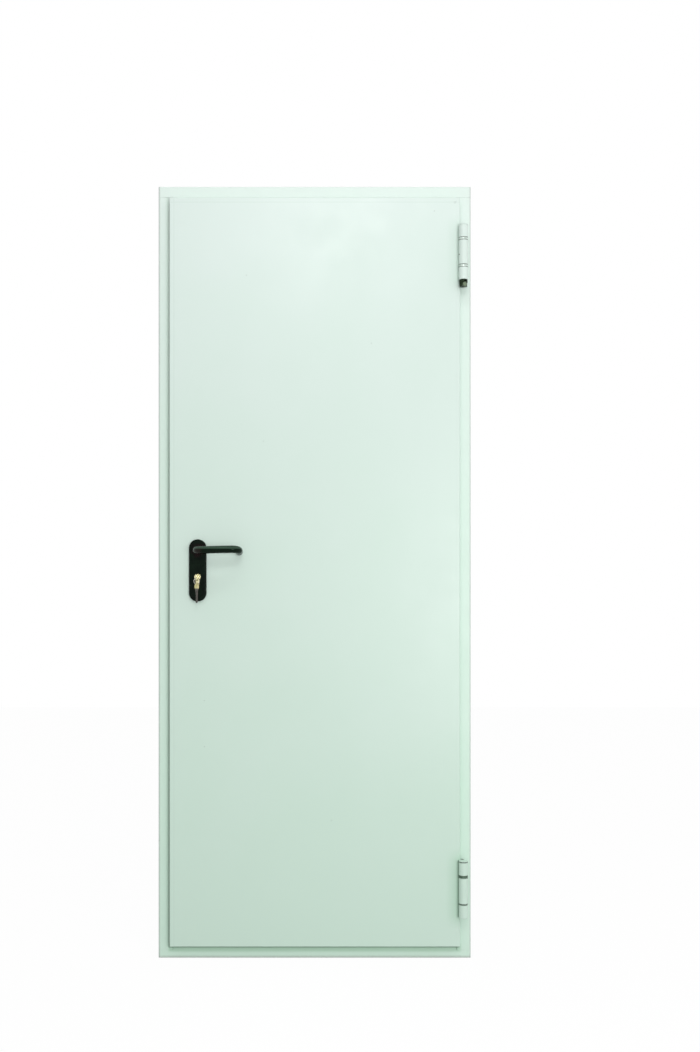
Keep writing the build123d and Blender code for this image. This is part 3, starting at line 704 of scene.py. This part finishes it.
def closed_surface(
    name: str, grid: np.ndarray, material: Material, body: Body,
    sharp_deg: float = 42.0,
) -> bpy.types.Object:
    """Make a solid piece from a grid of points whose rows are closed rings.

    Args:
        name: The piece's name.
        grid: Points in metres, as rows of rings; the first and the last ring are filled in.
        material: The piece's finish.
        body: The body that carries it.
        sharp_deg: The angle past which an edge isn't shaded smooth.

    Returns:
        The new object, riding on its body.
    """
    rows, columns = grid.shape[:2]
    index = np.arange(rows * columns).reshape(rows, columns)
    after = np.roll(index, -1, axis=1)
    quads = np.stack([index[:-1], after[:-1], after[1:], index[1:]], axis=-1).reshape(-1, 4)
    mesh = bpy.data.meshes.new(name)
    ends = [index[0][::-1].tolist(), index[-1].tolist()]
    mesh.from_pydata(grid.reshape(-1, 3).tolist(), [], quads.tolist() + ends)
    a, b, c, d = (grid.reshape(-1, 3)[quads[:, i]] - grid.mean((0, 1)) for i in range(4))
    if (np.cross(c - a, d - b) * (a + b + c + d)).sum() < 0:
        mesh.flip_normals()
    mesh.shade_smooth()
    mesh.set_sharp_from_angle(angle=math.radians(sharp_deg))
    mesh.materials.append(material)
    piece = bpy.data.objects.new(name, mesh)
    bpy.context.scene.collection.objects.link(piece)
    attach(piece, body.value)
    return piece


@dataclass(frozen=True)
class WeldBead:
    """A rippled fillet weld in a corner between two plates."""

    leg_mm: float = 3.0
    ripple_mm: float = 1.7
    ripple_share: float = 0.09
    crescent_mm: float = 0.7
    flat_share: float = 0.18
    least_edge: float = 0.02
    root_mm: float = 0.2
    columns: int = 9
    rows_per_mm: float = 2.5

    def grid(self, start: np.ndarray, end: np.ndarray, side: np.ndarray, out: np.ndarray) -> np.ndarray:
        """Work out the bead's points.

        A quarter round of the leg's radius runs from start to end. Its radius swells and shrinks as a
        sine of the ripple, eases to nothing at both ends as a circle does, and each row is bowed
        forward in its middle, so that the ripples are crescents.

        Args:
            start: One end of the corner, in metres.
            end: The other end.
            side: Unit direction along the first plate.
            out: Unit direction along the second plate.

        Returns:
            The grid of points.
        """
        along = end - start
        length = np.linalg.norm(along) / MM
        run = np.linspace(0.0, length, int(length * self.rows_per_mm))[:, None]
        turn = np.linspace(0.0, np.pi / 2, self.columns)[None, :]
        middle = np.sin(2 * turn)
        swell = 1 + self.ripple_share * np.sin(2 * np.pi * run / self.ripple_mm) * middle
        edge = np.clip(np.minimum(run, length - run) / self.leg_mm, self.least_edge, 1.0)
        radius = self.leg_mm * swell * np.sqrt(1 - (1 - edge) ** 2) * (1 - self.flat_share * middle)
        forward = run + self.crescent_mm * middle * edge
        root = np.full_like(run, -self.root_mm)
        first = np.hstack([root, radius * np.cos(turn)]) * MM
        second = np.hstack([root, radius * np.sin(turn)]) * MM
        third = np.hstack([run, forward]) * MM
        unit = along / np.linalg.norm(along)
        return start + third[..., None] * unit + first[..., None] * side + second[..., None] * out


@dataclass(frozen=True)
class CrossScrew:
    """The head of a countersunk screw with a cross recess."""

    head_radius_mm: float = 4.0
    shank_radius_mm: float = 2.1
    head_height_mm: float = 1.5
    rim_mm: float = 0.25
    rim_drop_mm: float = 0.12
    hub_radius_mm: float = 0.12
    recess_reach_mm: float = 2.2
    recess_half_width_mm: float = 0.45
    recess_depth_mm: float = 1.2
    side_slope_mm: float = 0.2
    end_slope_mm: float = 0.7
    top_rings: int = 22
    columns: int = 64

    def grid(self, centre: np.ndarray, out: np.ndarray, turn_deg: float) -> np.ndarray:
        """Work out the head's points.

        Rings go from the shank up the cone to the rim and in over the flat top, which sinks inside a
        cross: by the full depth along both arms, easing to nothing at their sides and ends.

        Args:
            centre: The middle of the flat top, in metres.
            out: Unit direction that the head faces.
            turn_deg: How far the cross is turned.

        Returns:
            The grid of points.
        """
        top = np.linspace(self.head_radius_mm - self.rim_mm, self.hub_radius_mm, self.top_rings)
        cone = [self.shank_radius_mm, self.head_radius_mm, self.head_radius_mm]
        radii = np.concatenate([cone, top])[:, None]
        cone_drop = [self.head_height_mm, self.rim_mm, self.rim_drop_mm]
        drop = np.concatenate([cone_drop, np.zeros(self.top_rings)])[:, None]
        angle = np.linspace(0.0, 2 * np.pi, self.columns, endpoint=False)[None, :]
        wide, high = radii * np.cos(angle), radii * np.sin(angle)
        near, far = np.sort(np.abs(np.stack([wide, high])), axis=0)
        slope_middle = self.recess_half_width_mm + self.side_slope_mm / 2
        sides = np.clip((slope_middle - near) / self.side_slope_mm, 0, 1)
        ends = np.clip((self.recess_reach_mm - far) / self.end_slope_mm, 0, 1)
        sunk = drop + self.recess_depth_mm * sides * ends * (drop == 0)
        turn = math.radians(turn_deg)
        up = np.array([0.0, 0.0, 1.0])
        first = np.cross(up, out) * math.cos(turn) + up * math.sin(turn)
        second = np.cross(out, first)
        flat = wide[..., None] * first + high[..., None] * second
        return centre + MM * (flat - sunk[..., None] * out)


def set_screw(
    label: str, centre: np.ndarray, out: Triple, turn_deg: float, metal: Material, body: Body,
    screw: CrossScrew = CrossScrew(),
) -> None:
    """Set a screw into a plate, named for its height in millimetres.

    Args:
        label: What the screw belongs to.
        centre: The middle of its flat top, in metres.
        out: Unit direction that it faces.
        turn_deg: How far its cross is turned.
        metal: Its finish.
        body: The body that carries it.
        screw: Its size.
    """
    grid = screw.grid(centre, np.array(out), turn_deg)
    closed_surface(f"{label}_{round(centre[2] / MM)}", grid, metal, body)


@dataclass(frozen=True)
class FoamSeal:
    """A self-adhesive foam strip with a flat base and a hollow-looking round back."""

    base_mm: float = 1.2
    bulb_share: float = 0.72
    wave_mm: float = 0.12
    wave_length_mm: float = 37.0
    second_wave_share: float = 0.5
    second_wave_turn: float = 7.3
    row_mm: float = 6.0
    columns: int = 14

    def grid(self, low: np.ndarray, high: np.ndarray) -> np.ndarray:
        """Work out the strip's points inside its CAD block.

        The section is the base's flat edges with half an ellipse on it. Along the strip the ellipse's
        height gives way a little as a sum of two sines, as glued foam does.

        Args:
            low: The block's lowest corner, in metres.
            high: The block's highest corner; the strip sticks to the face at the greater Y.

        Returns:
            The grid of points.
        """
        span = high - low
        axis = 2 if span[2] > span[0] else 0
        across = 2 - axis
        rows = np.linspace(0.0, 1.0, int(span[axis] / MM / self.row_mm))[:, None]
        turn = np.linspace(0.0, np.pi, self.columns)[None, :]
        bulb = span[across] * self.bulb_share / 2
        waves = rows * span[axis] / MM / self.wave_length_mm
        first = np.sin(2 * np.pi * waves)
        second = self.second_wave_share * np.sin(self.second_wave_turn * waves)
        give = self.wave_mm * MM * (1 + self.second_wave_share + first + second)
        rise = (span[1] - self.base_mm * MM - give) * np.sin(turn)
        middle = (low[across] + high[across]) / 2
        wide = np.hstack([
            np.broadcast_to([low[across], low[across]], (len(rows), 2)),
            np.broadcast_to(middle - bulb * np.cos(turn), rise.shape),
            np.broadcast_to([high[across], high[across]], (len(rows), 2)),
        ])
        shelf = high[1] - self.base_mm * MM
        deep = np.hstack([
            np.broadcast_to([high[1], shelf], (len(rows), 2)),
            shelf - rise,
            np.broadcast_to([shelf, high[1]], (len(rows), 2)),
        ])
        grid = np.empty((*wide.shape, 3))
        grid[..., axis] = low[axis] + rows * span[axis]
        grid[..., across] = wide
        grid[..., 1] = deep
        return grid


@dataclass
class DoorFrame:
    """The four folded steel members of the frame, with their seals and the strike plate."""

    members: tuple[str, ...] = ("frame_lock_jamb", "frame_hinge_jamb", "frame_head", "frame_threshold")
    seals: tuple[str, ...] = ("seal_lock_side", "seal_hinge_side", "seal_head", "seal_threshold")
    screw_end_gap_mm: float = 10.0
    screw_turns_deg: Pair = (20.0, 65.0)
    # A pale green satin coat that is a little rougher than the leaf's.
    paint: FrameCoat = FrameCoat(
        "powder_coated_frame_steel", "#DCEAE3", "#D0EADA", 0.44, scuffs=(Scuff(-423.5, 320.0, 3.0),)
    )
    # Closed-cell rubber: nearly black, without a highlight.
    foam: Matt = Matt("foam_rubber", "#141615", "#1f2221", 0.8, 0.15)
    # Rolled and zinc plated: a cool satin grey.
    zinc: Metal = Metal("zinc_plated_strike_steel", "#B9BCBE", "#9EA0A0", 0.34, 0.5)

    def build(self) -> None:
        """Lay the round-backed seals and put the two screws in the strike plate."""
        foam = self.foam.make()
        for name in self.seals:
            grid = FoamSeal().grid(*corners(name))
            piece = closed_surface(f"{name}_round", grid, foam, Body.FRAME)
            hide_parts(name)
        low, high = corners("strike_plate")
        zinc = self.zinc.make()
        dress(("strike_plate", "strike_box"), zinc)
        gap = self.screw_end_gap_mm * MM
        for turn, height in zip(self.screw_turns_deg, (low[2] + gap, high[2] - gap)):
            centre = np.array([high[0] - SCREW_SUNK_MM * MM, (low[1] + high[1]) / 2, height])
            set_screw("strike_screw", centre, (1.0, 0.0, 0.0), turn, zinc, Body.FRAME)

    def dress(self) -> None:
        """Finish the members."""
        dress(self.members, self.paint.make())


@dataclass
class DoorLeaf:
    """The leaf's two skins, its filling and the pieces on its edge."""

    screw_end_gap_mm: float = 10.0
    screw_turns_deg: Triple = (35.0, 80.0, 10.0)
    cylinder_screw_up_mm: float = 6.0
    cylinder_screw_proud_mm: float = 0.12
    # A pale green satin coat, smooth enough to show a soft highlight near its top.
    paint: LeafCoat = LeafCoat(
        "powder_coated_leaf_steel", "#D8E6E0", "#CAE1D3", 0.345,
        scuffs=(
            Scuff(-184.7, 1854.0), Scuff(-138.7, 1404.6), Scuff(153.6, 1670.0), Scuff(324.0, 2028.0),
            Scuff(-298.5, 702.6), Scuff(-298.5, 578.0), Scuff(45.3, 377.6), Scuff(380.0, 2052.0, 5.0, 0.2),
        ),
    )
    # Pressed fibres, brown and yellow, drawn out along the slab.
    wool: Matt = Matt("pressed_mineral_wool", "#8f8458", "#6f6544", 1.5, 0.5, 0.95, (1, 1, 0.3))
    # A graphite-filled strip: dark grey and dull.
    strip: Matt = Matt("heat_swelling_strip", "#3b3a38", "#474542", 1.2, 0.05, 0.7)
    # Rolled and zinc plated: a cool satin grey with marks along its length.
    zinc: Metal = Metal("zinc_plated_lock_steel", "#B9BCBE", "#9EA0A0", 0.32, 0.4, (1, 1, 0.1))

    def build(self) -> None:
        """Put the screws in the lock's edge plate, one of them for the cylinder."""
        low, high = corners("lock_faceplate")
        cylinder_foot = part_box("lock_cylinder")[0][2]
        gap = self.screw_end_gap_mm * MM
        zinc = self.zinc.make()
        dress(("lock_faceplate", "lock_case", "latch_bolt", "dead_bolt"), zinc)
        heights = (low[2] + gap, high[2] - gap, cylinder_foot + self.cylinder_screw_up_mm * MM)
        prouds = (0.0, 0.0, self.cylinder_screw_proud_mm)
        for turn, height, proud in zip(self.screw_turns_deg, heights, prouds):
            centre = np.array([low[0] + (SCREW_SUNK_MM - proud) * MM, (low[1] + high[1]) / 2, height])
            set_screw("faceplate_screw", centre, (-1.0, 0.0, 0.0), turn, zinc, Body.LEAF)

    def dress(self) -> None:
        """Finish the skins, the filling and the swelling strips."""
        dress(("leaf_front_skin", "leaf_back_tray"), self.paint.make())
        dress(("leaf_core",), self.wool.make())
        dress(("leaf_edge_strips",), self.strip.make())


@dataclass
class Hinges:
    """Both hinges: painted knuckles with their welds, steel pins and rings, and the black adjuster."""

    hinges: tuple[str, ...] = ("top_hinge", "bottom_hinge")
    wing_mm: float = 4.0
    leaf_bead: WeldBead = WeldBead(2.0)
    leaf_bead_from_front_mm: float = 3.0
    frame_bead: WeldBead = WeldBead(3.0)
    frame_bead_end_gap_mm: float = 1.0
    # A dark ring lies on both sides of each washer of the top hinge, this far from the joint.
    washer_ring_offsets_mm: Pair = (4.4, -2.4)
    washer_ring_reach_mm: float = 1.4
    # The chip's place across counts from the side of the top knuckle on the leaf.
    chip: Scuff = Scuff(1.0, 1906.0, 1.6, 0.9)
    # The pale spot, worn steel that is also a painted highlight, counts from the middle and the foot of the
    # adjuster.
    adjuster_pale_spot: Scuff = Scuff(4.0, 5.0, 7.0, 0.55)
    # The door's own coat, laid on thicker and so with a coarser peel.
    coat: HingeCoat = HingeCoat(
        "powder_coated_hinge_steel", "#DAE7E1", "#C9E0D2", 0.42, 1.8, 0.03, knock="#3D4440"
    )
    # Turned on a lathe: a grey satin with fine rings.
    bright: Metal = Metal("turned_steel", "#8E908E", "#5F615E", 0.34, 0.5, (1, 1, 6))
    # Hardened and oiled: green grey with dark blotches.
    dark: Metal = Metal("oil_darkened_bearing_steel", "#5E7263", "#38463B", 0.36, 0.5, stain_mm=4.0)
    # Stamped and worn by turning: nearly as pale as the paint.
    pale: Metal = Metal("worn_washer_steel", "#DCE4DE", "#B4C0B7", 0.36, 0.5)
    # Blacked in oil: nearly black, worn to pale steel where a spanner slipped; the pale spot is also a
    # painted highlight of a lit facet.
    black: Metal = Metal("black_oiled_adjuster_steel", "#2C3829", "#10140E", 0.36, 0.5)

    def knuckles(self) -> tuple[str, ...]:
        """The names of all the painted knuckles."""
        return tuple(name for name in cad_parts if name.endswith("_knuckle"))

    def paint(self) -> HingeCoat:
        """The knuckles' coat, rubbed dark at each joint and under the bottom hinge's cap.

        Returns:
            The coat with its rings and its chip at their real places.
        """
        top, bottom = (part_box(f"{hinge}_leaf_knuckle") for hinge in self.hinges)
        cap_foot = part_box("bottom_hinge_cap")[0][2]
        rings = []
        for corner, side in ((top[0], -1), (top[1], 1)):
            for offset in self.washer_ring_offsets_mm:
                height = corner[2] / MM + offset * side
                rings.append(RubbedRing(height, self.washer_ring_reach_mm, 1.0))
        rings.append(RubbedRing(bottom[0][2] / MM, reach_mm=3.4, share=1.0))
        rings.append(RubbedRing(bottom[1][2] / MM, reach_mm=2.2, share=0.7))
        rings.append(RubbedRing(cap_foot / MM, reach_mm=2.4, share=0.95))
        chip = replace(self.chip, x_mm=top[0][0] / MM + self.chip.x_mm)
        return replace(self.coat, scuffs=(chip,), rings=tuple(rings))

    def weld(self, name: str, paint: Material) -> None:
        """Run beads where a knuckle's wing meets the leaf or the frame.

        Args:
            name: The knuckle's node.
            paint: The knuckles' coat.
        """
        low, high = corners(name)
        x_axis, y_axis, z_axis = np.eye(3)
        if "leaf" in name:
            skin_low, skin_high = corners("leaf_front_skin")
            front_y = skin_low[1] + self.leaf_bead_from_front_mm * MM
            for end, height, out in (("foot", low[2], -z_axis), ("top", high[2], z_axis)):
                start = np.array([skin_high[0], front_y, height])
                stop = np.array([skin_high[0], high[1], height])
                grid = self.leaf_bead.grid(start, stop, x_axis, out)
                closed_surface(f"{name}_bead_{end}", grid, paint, Body.LEAF)
            return
        wing_x, gap = (low[0] + high[0]) / 2, self.frame_bead_end_gap_mm * MM
        for end, place, side in (("left", wing_x, -x_axis), ("right", wing_x + self.wing_mm * MM, x_axis)):
            start = np.array([place, high[1], low[2] + gap])
            stop = np.array([place, high[1], high[2] - gap])
            grid = self.frame_bead.grid(start, stop, side, -y_axis)
            closed_surface(f"{name}_bead_{end}", grid, paint, Body.FRAME)

    def build(self) -> None:
        """Coat the knuckles and weld them on."""
        paint = self.paint().make()
        dress(self.knuckles() + ("top_hinge_cap", "bottom_hinge_cap"), paint)
        for name in self.knuckles():
            self.weld(name, paint)

    def dress(self) -> None:
        """Finish the pins, the washers, the bearing rings and the adjuster with its pale spot of worn steel
        and painted highlight.
        """
        dress(("top_hinge_pin", "bottom_hinge_pin"), self.bright.make())
        dress(("top_hinge_washers",), self.pale.make())
        dress(("bottom_hinge_bearing",), self.dark.make())
        low, high = (corner / MM for corner in corners("top_hinge_adjuster"))
        middle_x = (low[0] + high[0]) / 2
        # A pale spot of worn steel, which is also a painted highlight on the lit facet.
        rub = replace(
            self.adjuster_pale_spot, x_mm=middle_x + self.adjuster_pale_spot.x_mm, z_mm=low[2] + self.adjuster_pale_spot.z_mm
        )
        dress(("top_hinge_adjuster",), replace(self.black, wear_and_sheen_spots=(rub,)).make())


@dataclass
class Furniture:
    """The handle plates, levers, spindle, cylinder and keys."""

    screw_end_gap_mm: float = 13.0
    screw_turns_deg: Pair = (15.0, 50.0)
    screw_proud_mm: float = 0.15
    plate_screw: CrossScrew = CrossScrew(3.6)
    collar_height_mm: float = 3.0
    key_bow_mm: float = 14.0
    nylon: BlackNylon = BlackNylon()
    # The same nylon where hands keep it smooth: darker, with a green sheen.
    lever_nylon: BlackNylon = BlackNylon(
        "hand_polished_black_nylon", "#040805", "#08100A", 0.13, "#C0F8D0", 0.12, 0.17, 0.006
    )
    neck_sheen_mm: float = 22.0
    neck_sheen_depth: float = 0.8
    highlight_below_top_mm: float = 5.5
    highlight_share: float = 0.8
    # Milled and tumbled: pale yellow with dark stains in its hollows, dark enough to be also a painted
    # reflection of the black plate.
    brass: Metal = Metal("satin_brass", "#F2ECC0", "#38320F", 0.2, 0.5, stain_mm=3.6)
    # Thin nickel plating on brass: a warm dark grey.
    nickel: KeyMetal = KeyMetal("worn_nickel_plated_key", "#615C58", "#3B3734", 0.28, 0.5, stain_mm=6.0)
    # Drawn and nickel plated: a pale, bright grey.
    wire: Metal = Metal("nickel_plated_wire", "#B3B1A6", "#807E75", 0.26, 0.5)
    # Rolled and zinc plated: a cool satin grey.
    zinc: Metal = Metal("zinc_plated_furniture_steel", "#B9BCBE", "#9EA0A0", 0.34, 0.5)

    def build(self) -> None:
        """Put the two fixing screws in the back plate, whose collar stands higher than its face."""
        low, high = corners("back_handle_plate")
        zinc = self.zinc.make()
        dress(("lever_spindle",), zinc)
        face_y = high[1] - self.collar_height_mm * MM
        gap = self.screw_end_gap_mm * MM
        for turn, height in zip(self.screw_turns_deg, (low[2] + gap, high[2] - gap)):
            centre = np.array([(low[0] + high[0]) / 2, face_y + self.screw_proud_mm * MM, height])
            set_screw("back_plate_screw", centre, (0.0, 1.0, 0.0), turn, zinc, Body.LEAF, self.plate_screw)

    def dress(self) -> None:
        """Finish the plates, levers, cylinder and keys."""
        low, high = (corner / MM for corner in corners("lever_spindle"))
        # Painted reflection: a brown spot around the lever's neck on the plates and the levers.
        neck = Scuff((low[0] + high[0]) / 2, (low[2] + high[2]) / 2, self.neck_sheen_mm, self.neck_sheen_depth)
        dress(("front_handle_plate", "back_handle_plate"), replace(self.nylon, wear_and_sheen_spots=(neck,)).make())
        # Painted highlight along the levers' upper side.
        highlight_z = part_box("front_lever")[1][2] / MM - self.highlight_below_top_mm
        grip = replace(self.lever_nylon, wear_and_sheen_spots=(neck,), highlight_z_mm=highlight_z, highlight_share=self.highlight_share)
        dress(("front_lever", "back_lever"), grip.make())
        dress(("lock_cylinder", "cylinder_plug", "back_plug", "key"), self.brass.make())
        dress(("key_ring",), self.wire.make())
        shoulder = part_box("spare_key")[1][2] - self.key_bow_mm * MM
        dress(("spare_key",), replace(self.nickel, shoulder_z=shoulder).make())


@dataclass(frozen=True)
class Lamp:
    """A soft rectangular lamp: where it hangs, what it faces, its width and length, and its watts."""

    name: str
    place: Triple
    aim: Triple
    size: Pair
    watts: float

    def hang(self) -> None:
        """Put the lamp in the scene, turned to what it faces."""
        data = bpy.data.lights.new(self.name, "AREA")
        data.shape = "RECTANGLE"
        data.size, data.size_y = self.size
        data.energy = self.watts
        lamp = bpy.data.objects.new(self.name, data)
        bpy.context.scene.collection.objects.link(lamp)
        lamp.location = self.place
        towards = np.array(self.aim) - np.array(self.place)
        tilt = math.atan2(math.hypot(towards[0], towards[1]), -towards[2])
        lamp.rotation_euler = (tilt, 0.0, math.atan2(-towards[0], towards[1]))


def white_rays(tree: bpy.types.NodeTree, kinds: tuple[str, ...]) -> Socket:
    """Tell the rays that see plain white from those that carry light.

    Args:
        tree: The node tree of a material or the world.
        kinds: The kinds of ray that see white, as the Light Path node names them.

    Returns:
        One for those rays and zero for the others.
    """
    rays = add_node(tree, "LightPath").outputs
    seen = rays[kinds[0]]
    for kind in kinds[1:]:
        seen = add_node(tree, "Math", {0: seen, 1: rays[kind]}, operation="MAXIMUM").outputs[0]
    return seen


@dataclass
class Studio:
    """The pale floor, the soft lights and the camera at the photograph's place."""

    photo_width: int = 700
    photo_height: int = 1052
    mm_per_pixel: float = 2.722
    camera_distance: float = 3.2
    camera_height: float = 1.046
    centre_pixel_x: float = 314.65
    foot_pixel_y: float = 958.0
    face_y: float = -0.010
    sensor_mm: float = 36.0
    lamps: tuple[Lamp, ...] = (
        Lamp("key_softbox", (0.1, -3.0, 2.95), (0.0, 0.0, 1.2), (0.7, 0.7), 15.0),
        Lamp("overhead_lamp", (0.15, -1.6, 3.66), (0.15, 0.0, 1.1), (1.8, 0.16), 8.0),
        Lamp("side_softbox", (1.3, -3.5, 0.9), (0.0, 0.0, 0.9), (1.2, 1.2), 40.0),
    )
    # The sky brightens along this direction, between these two sums with it.
    sky_lean: Triple = (0.8, -0.2, 0.5)
    sky_span: Pair = (-0.6, 0.8)
    sky_low: float = 0.42
    sky_high: float = 0.82
    floor_side: float = 12.0
    floor_roughness: float = 0.9
    floor_reflection: float = 0.1
    floor_bounce: float = 0.5
    floor_white_share: float = 0.96

    def place_camera(self) -> None:
        """Put the camera square to the door; the shift alone frames it off centre."""
        data = bpy.data.cameras.new("camera")
        camera = bpy.data.objects.new("camera", data)
        bpy.context.scene.collection.objects.link(camera)
        camera.location = (0.0, self.face_y - self.camera_distance, self.camera_height)
        camera.rotation_euler = (math.pi / 2, 0.0, 0.0)
        span = self.photo_height * self.mm_per_pixel * MM
        data.sensor_width = self.sensor_mm
        data.lens = self.sensor_mm * self.camera_distance / span
        data.shift_x = (self.photo_width / 2 - self.centre_pixel_x) / self.photo_height
        eye_pixel_y = self.foot_pixel_y - self.camera_height / (self.mm_per_pixel * MM)
        data.shift_y = (eye_pixel_y - self.photo_height / 2) / self.photo_height
        bpy.context.scene.camera = camera

    def light(self) -> None:
        """Hang the lamps and set the world, brighter from the right and above.

        The camera, gloss and glass see the world as plain white instead.
        """
        for lamp in self.lamps:
            lamp.hang()
        world = bpy.data.worlds.new("studio")
        world.use_nodes = True
        bpy.context.scene.world = world
        tree = world.node_tree
        tree.nodes.clear()
        way = add_node(tree, "TexCoord").outputs["Generated"]
        lean = add_node(tree, "VectorMath", {0: way, 1: self.sky_lean}, operation="DOT_PRODUCT")
        low, high = self.sky_span
        level = add_node(tree, "MapRange", {
            "Value": lean.outputs["Value"], "From Min": low, "From Max": high,
            "To Min": self.sky_low, "To Max": self.sky_high,
        })
        soft = add_node(tree, "Background", {"Color": WHITE, "Strength": level.outputs[0]})
        white = add_node(tree, "Background", {"Color": WHITE, "Strength": 1.0})
        seen = white_rays(tree, ("Is Camera Ray", "Is Glossy Ray", "Is Transmission Ray"))
        both = add_node(tree, "MixShader", {0: seen, 1: soft.outputs[0], 2: white.outputs[0]})
        add_node(tree, "OutputWorld", {"Surface": both.outputs[0]})

    def lay_floor(self) -> None:
        """Lay a plain pale floor under the door, which the camera sees as nearly pure white."""
        steps = np.array([[-1, -1], [1, -1], [1, 1], [-1, 1]]) * self.floor_side / 2
        points = np.column_stack([steps, np.zeros(4)])
        mesh = bpy.data.meshes.new("floor")
        mesh.from_pydata(points.tolist(), [], [(0, 1, 2, 3)])
        floor = bpy.data.objects.new("floor", mesh)
        bpy.context.scene.collection.objects.link(floor)
        shader = Shader(
            "pale_matt_floor", Roughness=self.floor_roughness, Specular_IOR_Level=self.floor_reflection
        )
        tree = shader.tree
        white = add_node(tree, "Emission", {"Color": WHITE, "Strength": 1.0})
        seen = white_rays(tree, ("Is Camera Ray", "Is Glossy Ray"))
        grey = (self.floor_bounce,) * 3 + (1.0,)
        shader.colour = shader.mix(seen, grey, WHITE)
        share = shader.sum("MULTIPLY", seen, self.floor_white_share)
        inputs = {0: share, 1: shader.surface.outputs[0], 2: white.outputs[0]}
        both = add_node(tree, "MixShader", inputs)
        tree.links.new(both.outputs[0], tree.nodes["Material Output"].inputs["Surface"])
        mesh.materials.append(shader.finish())

    def build(self) -> None:
        """Set the view's colours, the camera, the lights and the floor."""
        bpy.context.scene.view_settings.view_transform = "Standard"
        self.place_camera()
        self.light()
        self.lay_floor()


def main() -> None:
    """Build the studio, then each sub-assembly in turn."""
    logging.basicConfig(level=logging.INFO, format="%(name)s %(message)s")
    Studio().build()
    for assembly in (DoorFrame(), DoorLeaf(), Hinges(), Furniture()):
        assembly.build()
        assembly.dress()
        LOG.info("built and dressed %s", type(assembly).__name__)


if __name__ == "__main__":
    main()
